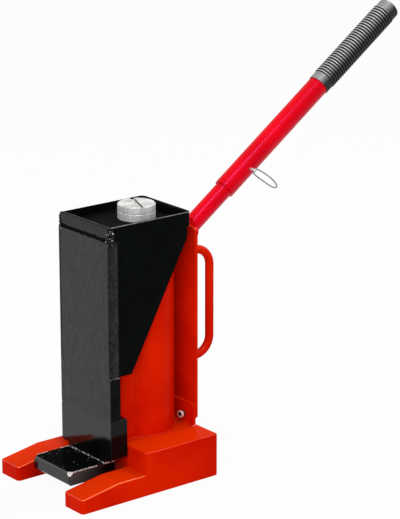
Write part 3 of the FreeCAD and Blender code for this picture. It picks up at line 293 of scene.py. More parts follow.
def weld(name, runs, material, body, radius=BEAD_RADIUS, lump=BEAD_LUMP, seed=1.0, closed=False):
    """One fillet weld of several runs of points, each open or closed on itself."""
    corners = []
    edges = []
    for points in runs:
        first = len(corners)
        corners += points
        edges += [(at, at + 1) for at in range(first, len(corners) - 1)]
        if closed:
            edges.append((len(corners) - 1, first))
    start = bpy.data.meshes.new(name)
    start.from_pydata(corners, edges, [])
    sizes = {"Radius": radius, "Pitch": BEAD_PITCH, "Ripple": BEAD_RIPPLE, "Lump": lump, "Seed": seed,
             "Material": material}
    grow(name, weld_bead, start, sizes, body)


def circle(centre, across, up, radius, start=0.0, end=2 * math.pi, steps=RING_STEPS):
    """Points of an arc about a centre in the plane of two directions."""
    angles = [start + (end - start) * step / steps for step in range(steps + 1)]
    return [centre + across * radius * math.cos(angle) + up * radius * math.sin(angle) for angle in angles]


def mirrored(points):
    """A run of points on the right side, and its mirror image on the left."""
    return [[Vector((side * x, y, z)) for x, y, z in points] for side in SIDES]


block_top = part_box("base_foot")[1].z
tank_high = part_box("tank_tube")[1]
tank_radius = tank_high.x
rail_low, rail_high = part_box("guide_rail")
seam_y = -math.sqrt(tank_radius ** 2 - rail_high.x ** 2)
seam_angle = math.atan2(seam_y, rail_high.x)
dress(red_enamel, "tank_tube", "cylinder_head", "guide_rail")
bead_enamel = enamel("red_enamel_over_weld", RED_TONES, rough=(0.2, 0.3), level=0.05, edge_level=0.15)
foot_arc = circle(Vector((0, 0, block_top)), X, Y, tank_radius, seam_angle, math.pi - seam_angle)
rail_front = rail_low.y + BEAD_RADIUS
rail_right, rail_left = [Vector((side * rail_high.x, rail_front, block_top)) for side in SIDES]
weld("column_foot_weld", [[rail_right, *foot_arc, rail_left]], bead_enamel, "foot")
rail_seam = [(rail_high.x, seam_y, height) for height in (block_top, tank_high.z)]
weld("rail_seam_weld", mirrored(rail_seam), bead_enamel, "foot", radius=1.2 * MM, lump=0.3 * MM,
     seed=2.0)

# Pressure cylinder and its seals
# Honed steel tube with a bronze gland bush screwed in at the top, a rubber rod seal and a wiper, and a
# zinc plated filler plug in the head. They are closed in by the tank and the claw.
METAL_SHEENS = 3
METAL_GRAINS = 10
METAL_GRAIN_DEPTH = 0.004 * MM
MOULD_PATCH = 12 * MM
MOULD_SHEEN = 4 * MM


def bare_metal(name, tones, rough, patch, metallic=1.0):
    """Bare or plated metal: the eye sees two close tones in soft patches, with a finer sheen and grain."""
    material = new_finish(name, tones, patch, rough, patch / METAL_SHEENS, patch / METAL_GRAINS,
                          METAL_GRAIN_DEPTH)
    feed(opened(material)[0], {"Metallic": metallic})
    return material


def moulded(name, tones, rough, level, grain, depth):
    """Moulded rubber or plastic: the eye sees a dull skin of almost one tone, with a fine grain."""
    material = new_finish(name, tones, MOULD_PATCH, rough, MOULD_SHEEN, grain, depth)
    feed(opened(material)[0], {"Specular IOR Level": level})
    return material


ground_steel = bare_metal("ground_steel", ("#A9A9A6", "#C4C4C0"), rough=(0.18, 0.3), patch=14 * MM)
zinc_plate = bare_metal("zinc_plated_steel", ("#C2C4C6", "#E2E3E2"), rough=(0.22, 0.36), patch=6 * MM,
                        metallic=0.7)
bronze = bare_metal("gland_bronze", ("#A07A42", "#B8904E"), rough=(0.3, 0.42), patch=10 * MM)
seal_rubber = moulded(
    "nitrile_rubber", ("#1B1B1C", "#262627"), rough=(0.5, 0.65), level=0.35, grain=0.8 * MM,
    depth=0.03 * MM)
dress(ground_steel, "cylinder_tube")
dress(bronze, "gland_bush")
dress(seal_rubber, "rod_seal", "rod_wiper")
dress(zinc_plate, "filler_plug")

# Back
# A low flange welded across the foot and a tall plate screwed to it with two socket screws. The carrying
# handle is a bent round rod, welded to the plate's rear face at both ends. All but the screws is enamelled.
# Shares of the screw head's radius and depth that bound its painted shade.
SCREW_SOCKET = 0.66
SCREW_UNSHADED_SHARE = 0.6
HANDLE_STEPS = 32


def either(one, other):
    """The larger of two masks."""
    return add(one.id_data, "ShaderNodeMath", {0: one, 1: other}, operation="MAXIMUM")


flange_low, flange_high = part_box("rear_flange")
plate_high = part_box("back_plate")[1]
dress(red_enamel, "rear_flange", "back_plate", "carry_handle")
screw_low, screw_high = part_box("flange_screws")
screw_radius = (screw_high.z - screw_low.z) / 2
screw_axis = (screw_high.x - screw_radius, 0.0, (screw_low.z + screw_high.z) / 2)
painted_shade_start = screw_low.y + SCREW_UNSHADED_SHARE * (flange_low.y - screw_low.y)
socket_zinc = bare_metal("zinc_plated_socket_screw", ("#E8E8E6", "#FFFFFF"), rough=(0.2, 0.3),
                         patch=6 * MM, metallic=0.3)
shader, place = opened(socket_zinc)
beside, deep, high = places(place)
flat = add(place.id_data, "ShaderNodeCombineXYZ", {"X": beside, "Z": high})
off_axis = add(place.id_data, "ShaderNodeVectorMath", {0: flat, 1: screw_axis}, operation="DISTANCE")
socket = below(off_axis.outputs["Value"], SCREW_SOCKET * screw_radius)
# Painted shade: the socket and the rear part of the head are near black. The near-white front is partly the
# zinc's own tone and partly a painted glint.
tone_where(shader, either(socket, above(deep, painted_shade_start)), "#120808")
dress(socket_zinc, "flange_screws")
thick_enamel = enamel("thick_red_enamel_over_weld", RED_TONES, rough=(0.12, 0.2), level=0.8, edge_level=0.8)
flange_foot = [Vector((x, y, block_top)) for x, y in (
    (flange_high.x, flange_high.y), (flange_high.x, flange_low.y), (flange_low.x, flange_low.y),
    (flange_low.x, flange_high.y))]
weld("flange_foot_weld", [flange_foot], thick_enamel, "foot", lump=1.2 * MM, seed=3.0)
handle_low, handle_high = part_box("carry_handle")
rod_radius = (handle_high.x - handle_low.x) / 2
handle_x = (handle_low.x + handle_high.x) / 2
handle_rings = [circle(Vector((handle_x, plate_high.y, height)), X, Z, rod_radius, steps=HANDLE_STEPS)[:-1]
                for height in (handle_low.z + rod_radius, handle_high.z - rod_radius)]
weld("handle_welds", handle_rings, bead_enamel, "foot", radius=1.8 * MM, lump=0.6 * MM, seed=4.0,
     closed=True)

# Claw
# A thick front plate, a rim and two tapering side plates welded round a tray, in black paint. The paint
# is glossier on the front and flat on the sides; its lighter tone on the front and darker tone on the sides
# are painted light and shade. The corner welds show through it.
PAINT_MOTTLE = 5 * MM
PAINT_PATCH = 25 * MM
PAINT_STREAK = 14 * MM
SEAM_RISE = 4.0 * MM
SEAM_DROP = 1.6 * MM
SEAM_WAVER = 1.0 * MM
SEAM_PATCH = 9 * MM
SEAM_SPAN = (0.3, 0.7)
# How near to a plate's limit a point lies on its outer face, and on its top.
OUTER = 0.1 * MM
TOP = 0.05 * MM
LIP = 0.8 * MM
LIP_EDGE = 0.02 * MM
INNER_LIP_DEPTH = 1.3 * MM
EDGE_SPECK = 14 * MM
EDGE_SPECK_SPAN = (0.3, 0.6)
MOTTLE_SPAN = (0.4, 0.6)
BARE_METALLIC = 0.2
STREAK_GLOSS = 0.27
THIN_GLOSS = 0.02
SEAM_GLOSS = 0.01
BEAD_MOTTLE = 3.5 * MM
BEAD_GLOSS = 0.12
PAD_WIDTH = 14 * MM
PAD_PROUD = 0.8 * MM
PAD_LUMP = 1.2 * MM
PAD_GRAIN = 4.0 * MM
PAD_STEPS_ACROSS = 15
PAD_STEPS_ALONG = 150
PAD_SEED = 5.0
CORNER_RADIUS = 3.0 * MM
CORNER_INSET = 2.2 * MM
PAD_END_REACH = 5.0 * MM
PAD_END_CUT = 0.6 * MM
# How far each run of spatter reaches from the corner, and its height over the rim's lower edge, in mm.
SPATTER = ((7.0, -4.0), (6.0, 0.5), (5.0, 5.0), (6.0, 9.5), (4.0, 13.5))


def black_paint(name, tones, rough, level, depth):
    """Brushed black paint: the eye sees a dark mottled gloss that picks up the pale floor."""
    material = new_finish(name, tones, PAINT_PATCH, rough, PAINT_MOTTLE, PAINT_MOTTLE / 2, depth)
    shader, place = opened(material)
    feed(shader, {"Specular IOR Level": level})
    return material, shader, place


def flattened(place, share):
    """Coordinates whose height counts for a share, which draws round marks out into upright streaks."""
    return add(place.id_data, "ShaderNodeVectorMath", {0: place, 1: (1.0, 1.0, share)}, operation="MULTIPLY")


def uneven_height(place):
    """The height of a point, a little up or down, for the wavering edge of a coat."""
    waver = speckle(place, SEAM_PATCH, SEAM_SPAN, (-SEAM_WAVER, SEAM_WAVER))
    return add(place.id_data, "ShaderNodeMath", {0: places(place)[2], 1: waver}, operation="ADD")


def wear_and_glint(shader, mask):
    """Bright bare steel where the mask says: worn paint in some places, painted glints and highlights in
    others.
    """
    tone_where(shader, mask, "#D6D6D3")
    feed(shader, {"Metallic": both(mask, BARE_METALLIC)})


def arch(share):
    """The height of a round arch of radius one at a distance from its middle."""
    square = add(share.id_data, "ShaderNodeMath", {0: share, 1: 2.0}, operation="POWER")
    rest = add(share.id_data, "ShaderNodeMath", {0: 1.0, 1: square}, operation="SUBTRACT")
    return add(share.id_data, "ShaderNodeMath", {0: rest, 1: 0.5}, operation="POWER")


def pad_tree():
    """A wide weld laid up the end of a plate: a flat oval bulge with round ends and a lumpy skin."""
    tree, given = new_tree("corner_weld", Width="Float", Length="Float", Proud="Float", Lump="Float",
                           Grain="Float", Seed="Float", Turn="Vector", Place="Vector")
    size = add(tree, "ShaderNodeCombineXYZ", {"X": given["Proud"], "Y": given["Width"], "Z": given["Length"]})
    block = add(tree, "GeometryNodeMeshCube", {"Size": size, "Vertices X": 2, "Vertices Y": PAD_STEPS_ACROSS,
                                               "Vertices Z": PAD_STEPS_ALONG})
    spot = add(tree, "ShaderNodeSeparateXYZ", {0: add(tree, "GeometryNodeInputPosition", {})}).outputs
    half = add(tree, "ShaderNodeMath", {0: given["Width"], 1: 2.0}, operation="DIVIDE")
    half_length = add(tree, "ShaderNodeMath", {0: given["Length"], 1: 2.0}, operation="DIVIDE")
    height = add(tree, "ShaderNodeMath", {0: spot["Z"]}, operation="ABSOLUTE")
    to_end = add(tree, "ShaderNodeMath", {0: half_length, 1: height}, operation="SUBTRACT")
    into = add(tree, "ShaderNodeMapRange", {"Value": to_end, "From Max": half, "To Min": 1.0, "To Max": 0.0})
    narrow = arch(into)
    across = add(tree, "ShaderNodeMath", {0: spot["Y"], 1: half}, operation="DIVIDE")
    dome = add(tree, "ShaderNodeMath", {0: arch(across), 1: narrow}, operation="MULTIPLY")
    fine = add(tree, "ShaderNodeMath", {0: 1.0, 1: given["Grain"]}, operation="DIVIDE")
    noise = add(tree, "ShaderNodeTexNoise", {"W": given["Seed"], "Scale": fine, "Detail": 3.0},
                noise_dimensions="4D")
    lumps = add(tree, "ShaderNodeMath", {0: noise, 1: given["Lump"]}, operation="MULTIPLY")
    crown = add(tree, "ShaderNodeMath", {0: given["Proud"], 1: lumps}, operation="ADD")
    bulge = add(tree, "ShaderNodeMath", {0: dome, 1: crown}, operation="MULTIPLY")
    sunk = add(tree, "ShaderNodeMath", {0: given["Proud"], 1: -1.0}, operation="MULTIPLY")
    outer = add(tree, "FunctionNodeCompare", {0: spot["X"], 1: 0.0}, operation="GREATER_THAN")
    depth = add(tree, "ShaderNodeMix", {"Factor": outer, 2: sunk, 3: bulge})
    width = add(tree, "ShaderNodeMath", {0: spot["Y"], 1: narrow}, operation="MULTIPLY")
    moved = add(tree, "ShaderNodeCombineXYZ", {"X": depth, "Y": width, "Z": spot["Z"]})
    shaped = add(tree, "GeometryNodeSetPosition", {"Geometry": block, "Position": moved})
    placed = add(tree, "GeometryNodeTransform", {"Geometry": shaped, "Translation": given["Place"],
                                                 "Rotation": given["Turn"]})
    return close_tree(tree, given, placed)


front_low, front_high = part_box("claw_front_plate")
rim_low, rim_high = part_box("claw_front_rim")
side_low, side_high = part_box("claw_side_right")
front_paint, shader, place = black_paint(
    "gloss_black_paint", ("#0B0C0D", "#141516"), rough=(0.14, 0.26), level=0.37, depth=0.04 * MM)
streaks = speckle(flattened(place, PAINT_MOTTLE / PAINT_STREAK), PAINT_MOTTLE / 2, MOTTLE_SPAN)
gloss_where(shader, streaks, STREAK_GLOSS)
gloss_where(shader, above(places(place)[0], front_high.x - OUTER), THIN_GLOSS)
gloss_where(shader, above(uneven_height(place), front_high.z - SEAM_DROP), THIN_GLOSS)
dress(front_paint, "claw_front_plate")
# Painted shade: the side plates get a darker black than the front, as they face away from the light.
side_paint, shader, place = black_paint(
    "flat_black_paint", ("#020404", "#040707"), rough=(0.6, 0.8), level=0.04, depth=0.03 * MM)
beside, _, high = places(place)
lip = both(above(high, rim_high.z - LIP), above(beside, side_high.x - LIP))
lip = both(below(high, rim_high.z - LIP_EDGE), lip)
# Painted highlight: a thin broken line of bright steel along the sides' top outer edges.
wear_and_glint(shader, both(lip, speckle(place, EDGE_SPECK, EDGE_SPECK_SPAN, to=(0.12, 0.35))))
dress(side_paint, "claw_side_right", "claw_side_left", "claw_top_plate", "claw_rear_rim")
rim_paint, shader, place = black_paint(
    "satin_black_paint", ("#08090A", "#0F1011"), rough=(0.2, 0.32), level=0.24, depth=0.05 * MM)
_, deep, high = places(place)
gloss_where(shader, below(uneven_height(place), rim_low.z + SEAM_RISE), SEAM_GLOSS)
gloss_where(shader, above(high, rim_high.z - TOP, TOP), THIN_GLOSS)
inner_lip = both(above(deep, rim_high.y - INNER_LIP_DEPTH), above(high, rim_high.z - LIP))
# Painted highlight: a thin broken line of bright steel along the rim's top inner edge.
wear_and_glint(shader, both(inner_lip, speckle(place, EDGE_SPECK, EDGE_SPECK_SPAN, to=(0.03, 0.12))))
dress(rim_paint, "claw_front_rim")
weld_paint, shader, place = black_paint(
    "black_paint_over_weld", ("#0B0C0D", "#151617"), rough=(0.25, 0.5), level=0.27, depth=0.2 * MM)
gloss_where(shader, speckle(place, BEAD_MOTTLE, MOTTLE_SPAN), BEAD_GLOSS)
# Painted glints: scattered bright steel specks on the weld's paint.
wear_and_glint(shader, speckle(place, size=3 * MM, span=(0.76, 0.84)))
spatter_paint, shader, place = black_paint(
    "black_paint_burnt_off_weld", ("#08090A", "#151617"), rough=(0.2, 0.35), level=0.25, depth=0.2 * MM)
# Painted glints: bright steel specks scattered over the spatter.
wear_and_glint(shader, speckle(place, size=2.5 * MM, span=(0.58, 0.66)))
corner_weld = pad_tree()
for label, side, turn in (("right", 1, 0.0), ("left", -1, math.pi)):
    pad_middle = (side * front_high.x, front_low.y + PAD_WIDTH / 2, (side_low.z + front_high.z) / 2)
    grow(f"claw_corner_weld_{label}", corner_weld, bpy.data.meshes.new(f"corner_weld_{label}"), {
        "Width": PAD_WIDTH, "Length": front_high.z - side_low.z, "Proud": PAD_PROUD, "Lump": PAD_LUMP,
        "Grain": PAD_GRAIN, "Seed": PAD_SEED + side, "Turn": (0.0, 0.0, turn), "Place": pad_middle,
        "Material": weld_paint}, "claw")
corner_bead = [(front_high.x - CORNER_INSET, front_low.y + CORNER_INSET, height)
               for height in (side_low.z, front_high.z - CORNER_RADIUS)]
weld("claw_corner_beads", mirrored(corner_bead), weld_paint, "claw", radius=CORNER_RADIUS,
     lump=0.3 * MM, seed=6.0)
pad_end = [(front_high.x - PAD_END_REACH, front_low.y, side_low.z),
           (front_high.x - PAD_END_CUT, front_low.y + PAD_END_CUT, side_low.z),
           (front_high.x, front_low.y + PAD_WIDTH, side_low.z)]
weld("claw_corner_weld_ends", mirrored(pad_end), spatter_paint, "claw", radius=1.4 * MM,
     lump=0.5 * MM, seed=12.0)
# Each run of spatter starts on the front, goes round the corner and ends a little higher on the side.
blobs = []
for reach, height in SPATTER:
    blob = ((-reach, 0.6, height - 1.0), (-2.2, 1.0, height), (-1.0, 2.6, height),
            (-0.8, reach + 3.0, height + 1.0))
    blobs += mirrored([(front_high.x + x * MM, front_low.y + y * MM, rim_low.z + z * MM) for x, y, z in blob])
weld("rim_corner_welds", blobs, spatter_paint, "claw", radius=1.9 * MM, lump=1.4 * MM,
     seed=7.0)

# Toe
# A forged wedge under the front plate that goes beneath the load. Its top is cut into rows of points
# for grip, all painted black, with the paint worn to bright steel at the corner, edge and root.
TOE_HALF = 42.5 * MM
KNURL_PITCH = 5.6 * MM
KNURL_RISE = 0.9 * MM
KNURL_MARGIN = 3.0 * MM
KNURL_BASE = 0.68
KNURL_TIP = 0.16
NICK = 7.2 * MM
NICK_SOFT = 0.4 * MM
EDGE_IN = 1.2 * MM
EDGE_IN_SOFT = 1.0 * MM
EDGE_DOWN = 1.0 * MM
EDGE_DOWN_SOFT = 0.6 * MM
ROOT_RADIUS = 1.6 * MM
TOE_TOP_GLOSS = 0.01
HEEL_GLOSS = 0.12


def knurl_tree():
    """Rows of blunt four-sided points on a flat face."""
    tree, given = new_tree("toe_knurl", Width="Float", Length="Float", Across="Int", Rows="Int",
                           Pitch="Float", Rise="Float", Place="Vector")
    grid = add(tree, "GeometryNodeMeshGrid", {"Size X": given["Width"], "Size Y": given["Length"],
                                              "Vertices X": given["Across"], "Vertices Y": given["Rows"]})
    base = add(tree, "ShaderNodeMath", {0: given["Pitch"], 1: KNURL_BASE}, operation="MULTIPLY")
    tip = add(tree, "ShaderNodeMath", {0: given["Pitch"], 1: KNURL_TIP}, operation="MULTIPLY")
    tall = add(tree, "ShaderNodeMath", {0: given["Rise"], 1: 2.0}, operation="MULTIPLY")
    point = add(tree, "GeometryNodeMeshCone", {"Vertices": 4, "Radius Top": tip, "Radius Bottom": base,
                                               "Depth": tall})
    points = add(tree, "GeometryNodeInstanceOnPoints", {"Points": grid, "Instance": point})
    placed = add(tree, "GeometryNodeTransform", {"Geometry": points, "Translation": given["Place"]})
    return close_tree(tree, given, placed, smooth=False)


toe_low, toe_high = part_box("claw_toe")
toe_top = next(mount for mount in frame["record"]["mounts"] if mount["name"] == "toe_face")["pos_m"][2]
toe_paint, shader, place = black_paint(
    "gloss_black_paint_worn", ("#040505", "#090A0A"), rough=(0.06, 0.14), level=0.38, depth=0.02 * MM)
beside, deep, high = places(place)
on_toe = below(high, toe_top + KNURL_RISE)
gloss_where(shader, both(on_toe, above(high, toe_top - TOP, TOP)), TOE_TOP_GLOSS)
gloss_where(shader, above(beside, toe_high.x - OUTER), HEEL_GLOSS)
# Painted light: the toe's outer sides are painted a lighter grey, strongest at the tip and gone at the root.
to_root = add(place.id_data, "ShaderNodeMapRange", {
    "Value": deep, "From Min": toe_low.y, "From Max": front_low.y, "To Min": 1.0, "To Max": 0.0})
tone_where(shader, both(to_root, above(beside, TOE_HALF - OUTER)), "#4C4D4E")
to_corner = add(place.id_data, "ShaderNodeVectorMath", {0: place, 1: (1.0, -1.0, 1.0)},
                operation="DOT_PRODUCT")
nick = above(to_corner.outputs["Value"], TOE_HALF - toe_low.y + toe_top - NICK, NICK_SOFT)
edge = both(above(beside, TOE_HALF - EDGE_IN, EDGE_IN_SOFT),
            above(high, toe_top - EDGE_DOWN, EDGE_DOWN_SOFT))
flaked = both(speckle(place, size=11 * MM, span=(0.46, 0.52)),
              speckle(place, size=2.5 * MM, span=(0.42, 0.48)))
wear_and_glint(shader, both(either(nick, both(edge, flaked)), on_toe))
dress(toe_paint, "claw_toe")
knurl_paint, shader, place = black_paint(
    "flat_black_paint_in_knurl", ("#010101", "#020303"), rough=(0.6, 0.8), level=0.01, depth=0.03 * MM)
wear_and_glint(shader, speckle(place, size=4 * MM, span=(0.68, 0.74)))
knurl_width = 2 * (TOE_HALF - KNURL_MARGIN - KNURL_PITCH / 2)
knurl_length = front_low.y - toe_low.y - 2 * KNURL_MARGIN - KNURL_PITCH
grow("toe_knurl", knurl_tree(), bpy.data.meshes.new("toe_knurl_points"), {
    "Width": knurl_width, "Length": knurl_length, "Across": round(knurl_width / KNURL_PITCH) + 1,
    "Rows": round(knurl_length / KNURL_PITCH) + 1, "Pitch": KNURL_PITCH, "Rise": KNURL_RISE,
    "Place": (0.0, (front_low.y + toe_low.y) / 2, toe_top - KNURL_RISE), "Material": knurl_paint},
    "claw")
root_paint, shader, place = black_paint(
    "black_paint_worn_at_root", ("#070808", "#121313"), rough=(0.2, 0.35), level=0.3, depth=0.1 * MM)
wear_and_glint(shader, both(speckle(place, size=9 * MM, span=(0.4, 0.52)),
                  speckle(place, size=2.5 * MM, span=(0.5, 0.58))))
toe_root = [Vector((side * (TOE_HALF - ROOT_RADIUS), front_low.y, toe_top)) for side in SIDES]
weld("toe_root_weld", [toe_root], root_paint, "claw", radius=ROOT_RADIUS, lump=0.5 * MM,
     seed=8.0)

# Ram
# A ground steel rod with a piston, its seal, guide ring and nut inside the cylinder, and a turned head
# above the tray, with a groove round it and a slot across its top. The head is bare and freshly turned;
# its upright sides carry a painted white sheen in streaks and its slot a painted shade.
HEAD_SKIN = 3.5 * MM
HEAD_PAINTED_SHEEN = 7 * MM
HEAD_PAINTED_SHEEN_FLAT = 0.05
HEAD_PAINTED_SHEEN_LEAST = 0.35
HEAD_BRUSHED = 0.6
UPRIGHT = 0.5
# The lathe's real lines are finer, and are drawn coarser so that they show.
TURNED_PITCH = 1.6 * MM
TURNED_DEPTH = 0.08 * MM
TURNED_WAVER = 1.5
# The length in which a wave texture of scale one repeats.
WAVE_LENGTH = math.pi / 10
turned_steel = bare_metal("turned_steel", ("#C6C6C4", "#E4E4E2"), rough=(0.42, 0.55), patch=9 * MM,
                          metallic=0.4)
shader, place = opened(turned_steel)
lathe = add(place.id_data, "ShaderNodeTexWave", {
    "Vector": place, "Scale": WAVE_LENGTH / TURNED_PITCH, "Distortion": TURNED_WAVER, "Detail": 2.0},
    bands_direction="Z")
rings = add(place.id_data, "ShaderNodeBump", {"Height": lathe.outputs["Fac"], "Distance": TURNED_DEPTH,
                                              "Normal": shader.inputs["Normal"].links[0].from_socket})
lathe_way = add(place.id_data, "ShaderNodeTangent", {}, direction_type="RADIAL", axis="Z")
feed(shader, {"Normal": rings, "Tangent": lathe_way, "Anisotropic": HEAD_BRUSHED})
head_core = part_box("ram_head")[1].x - HEAD_SKIN
upright = below(facing_up(place), UPRIGHT)
off_axis = add(place.id_data, "ShaderNodeVectorMath", {0: flattened(place, 0.0)},
               operation="LENGTH").outputs["Value"]
streaks = speckle(flattened(place, HEAD_PAINTED_SHEEN_FLAT), HEAD_PAINTED_SHEEN, MOTTLE_SPAN, (HEAD_PAINTED_SHEEN_LEAST, 1.0))
# Painted sheen: white streaks on the upright outer sides of the head, for the light they reflect.
tone_where(shader, both(both(upright, above(off_axis, head_core)), streaks), "#FFFFFF")
# Painted shade: the upright walls inside the head, those of the slot, are painted darker.
tone_where(shader, both(upright, below(off_axis, head_core)), "#60605E")
dress(turned_steel, "ram_head")
dress(ground_steel, "ram_rod", "piston", "piston_nut")
dress(bronze, "piston_guide")
dress(seal_rubber, "piston_seal")

# Lever
# A forged rocker on a pin between two cheeks welded to the back plate, a tube stub welded on it, a longer
# tube slipped over the stub and a ribbed rubber grip pushed on the end. The red is cooler than the foot's.
# The third red is painted light, laid on level faces.
LEVER_TONES = ("#CE0003", "#E20006", "#E2000A")
GRIP_RIBS = 31
GRIP_COLLAR = 13 * MM
GRIP_CAP = 14 * MM
GRIP_ROUND = 4 * MM
GRIP_STEP = 1.0 * MM
GRIP_SIDES = 48
RIB_DEPTH = 1.3 * MM
RIB_STEPS = 10
RIB_CREST = 0.1 * MM
RIB_CREST_SOFT = 0.5 * MM
# The grip's underside is painted darker and duller by this share, a painted shade, and not at all where it
# looks up.
UNDER_PAINTED_SHADE = 0.9
UNDER_FROM = 0.25
UNDER_TO = 0.78
DULL_GLOSS = 0.03
GRIP_COAT_ROUGH = 0.5
PLATE_TOP_INSET = 2.0 * MM
PLATE_TOP_RUN = (20 * MM, 46 * MM)


def grip_tree():
    """A moulded sleeve along a line: a plain collar, round ribs with sharp valleys, and a rounded cap."""
    tree, given = new_tree("ribbed_grip", Length="Float", Crest="Float", Valley="Float", Plain="Float",
                           Collar="Float", Cap="Float", Round="Float", Ribs="Float", Steps="Int")
    line = add(tree, "GeometryNodeMeshToCurve", {"Mesh": given["Geometry"]})
    fine = add(tree, "GeometryNodeResampleCurve", {"Curve": line, "Count": given["Steps"]})
    along = add(tree, "GeometryNodeSplineParameter", {}).outputs["Length"]
    left = add(tree, "ShaderNodeMath", {0: given["Length"], 1: along}, operation="SUBTRACT")
    ends = add(tree, "ShaderNodeMath", {0: given["Collar"], 1: given["Cap"]}, operation="ADD")
    run = add(tree, "ShaderNodeMath", {0: given["Length"], 1: ends}, operation="SUBTRACT")
    into = add(tree, "ShaderNodeMath", {0: along, 1: given["Collar"]}, operation="SUBTRACT")
    share = add(tree, "ShaderNodeMath", {0: into, 1: run}, operation="DIVIDE")
    turns = add(tree, "ShaderNodeMath", {0: share, 1: given["Ribs"]}, operation="MULTIPLY")
    angle = add(tree, "ShaderNodeMath", {0: turns, 1: math.pi}, operation="MULTIPLY")
    swell = add(tree, "ShaderNodeMath", {0: angle}, operation="SINE")
    rise = add(tree, "ShaderNodeMath", {0: swell}, operation="ABSOLUTE")
    ribbed = add(tree, "ShaderNodeMapRange", {"Value": rise, "To Min": given["Valley"],
                                              "To Max": given["Crest"]})
    short = add(tree, "ShaderNodeMath", {0: given["Round"], 1: left}, operation="SUBTRACT")
    reach = add(tree, "ShaderNodeMath", {0: short, 1: 0.0}, operation="MAXIMUM")
    square = add(tree, "ShaderNodeMath", {0: reach, 1: reach}, operation="MULTIPLY")
    whole = add(tree, "ShaderNodeMath", {0: given["Round"], 1: given["Round"]}, operation="MULTIPLY")
    rest = add(tree, "ShaderNodeMath", {0: whole, 1: square}, operation="SUBTRACT")
    arc = add(tree, "ShaderNodeMath", {0: rest}, operation="SQRT")
    drop = add(tree, "ShaderNodeMath", {0: given["Round"], 1: arc}, operation="SUBTRACT")
    plain = add(tree, "ShaderNodeMath", {0: given["Plain"], 1: drop}, operation="SUBTRACT")
    past_collar = add(tree, "ShaderNodeMath", {0: share, 1: 0.0}, operation="GREATER_THAN")
    in_ribs = both(past_collar, below(share, 1.0))
    radius = add(tree, "ShaderNodeMapRange", {"Value": in_ribs, "To Min": plain, "To Max": ribbed})
    section = add(tree, "GeometryNodeCurvePrimitiveCircle", {"Resolution": GRIP_SIDES, "Radius": 1.0})
    sleeve = add(tree, "GeometryNodeCurveToMesh", {"Curve": fine, "Profile Curve": section, "Scale": radius,
                                                   "Fill Caps": True})
    return close_tree(tree, given, sleeve)


def without(mask):
    """The rest of a mask."""
    return add(mask.id_data, "ShaderNodeMath", {0: 1.0, 1: mask}, operation="SUBTRACT")


lever_enamel = enamel("lever_red_enamel", LEVER_TONES, rough=(0.26, 0.3), level=0.2, edge_level=0.2)
feed(opened(lever_enamel)[0], {"Specular Tint": linear("#FF88FF")})
dress(lever_enamel, "lever_rocker", "lever_stub", "lever_tube")
pivot = Vector(next(joint for joint in frame["record"]["behaviour"]["joints"]
                    if joint["name"] == "lever_swing")["pos_m"])
grip_low, grip_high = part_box("lever_grip")
grip_middle = (grip_low + grip_high) / 2
grip_radius = grip_high.x
lever_way = (grip_middle - pivot).normalized()
grip_up = (Z - lever_way * lever_way.z).normalized()
grip_half = (grip_high.y - grip_middle.y - grip_radius * lever_way.z) / lever_way.y
grip_length = 2 * grip_half
grip_start = (grip_middle - pivot).length - grip_half
grip_rubber = moulded(
    "ribbed_grip_rubber", ("#6C6C6E", "#7C7C7E"), rough=(0.46, 0.54), level=1.0, grain=0.9 * MM,
    depth=0.01 * MM)
shader, place = opened(grip_rubber)
from_pivot = add(place.id_data, "ShaderNodeVectorMath", {0: place, 1: pivot}, operation="SUBTRACT")
crossed = add(place.id_data, "ShaderNodeVectorMath", {0: from_pivot, 1: lever_way}, operation="CROSS_PRODUCT")
off_axis = add(place.id_data, "ShaderNodeVectorMath", {0: crossed}, operation="LENGTH").outputs["Value"]
crest = above(off_axis, grip_radius - RIB_CREST, RIB_CREST_SOFT)
along = add(place.id_data, "ShaderNodeVectorMath", {0: from_pivot, 1: lever_way},
            operation="DOT_PRODUCT").outputs["Value"]
ribbed = both(above(along, grip_start + GRIP_COLLAR), below(along, grip_start + grip_length - GRIP_CAP))
way_up = add(place.id_data, "ShaderNodeVectorMath", {0: place.node.outputs["Normal"], 1: grip_up},
             operation="DOT_PRODUCT").outputs["Value"]
under = add(place.id_data, "ShaderNodeMapRange", {
    "Value": way_up, "From Min": UNDER_FROM, "From Max": UNDER_TO, "To Min": UNDER_PAINTED_SHADE, "To Max": 0.0})
dull = either(both(ribbed, without(crest)), under)
# Painted highlight: the rib crests take a light grey.
tone_where(shader, both(ribbed, crest), "#9C9C9E")
# Painted shade: the rib valleys and the underside take a near black, with less gloss.
tone_where(shader, dull, "#0A0A0B")
gloss_where(shader, dull, DULL_GLOSS)
feed(shader, {"Coat Weight": without(dull), "Coat Roughness": GRIP_COAT_ROUGH})
dress(grip_rubber, "lever_grip")
grip_line = bpy.data.meshes.new("grip_line")
grip_ends = [grip_middle - lever_way * grip_half, grip_middle + lever_way * grip_half]
grip_line.from_pydata(grip_ends, [(0, 1)], [])
grip_steps = round(grip_length * GRIP_RIBS * RIB_STEPS / (grip_length - GRIP_COLLAR - GRIP_CAP))
ribbed_grip = grow("ribbed_grip", grip_tree(), grip_line, {
    "Length": grip_length, "Crest": grip_radius, "Valley": grip_radius - RIB_DEPTH,
    "Plain": grip_radius - GRIP_STEP, "Collar": GRIP_COLLAR, "Cap": GRIP_CAP, "Round": GRIP_ROUND,
    "Ribs": float(GRIP_RIBS), "Steps": grip_steps, "Material": grip_rubber}, "lever")
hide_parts("lever_grip")
dress(red_enamel, "pivot_cheeks")
dress(ground_steel, "pivot_pin")
dress(zinc_plate, "pivot_ring")
plate_top = [(x, plate_high.y - PLATE_TOP_INSET, plate_high.z) for x in PLATE_TOP_RUN]
weld("plate_top_welds", mirrored(plate_top), bead_enamel, "foot", radius=2.2 * MM, lump=0.8 * MM,
     seed=13.0)
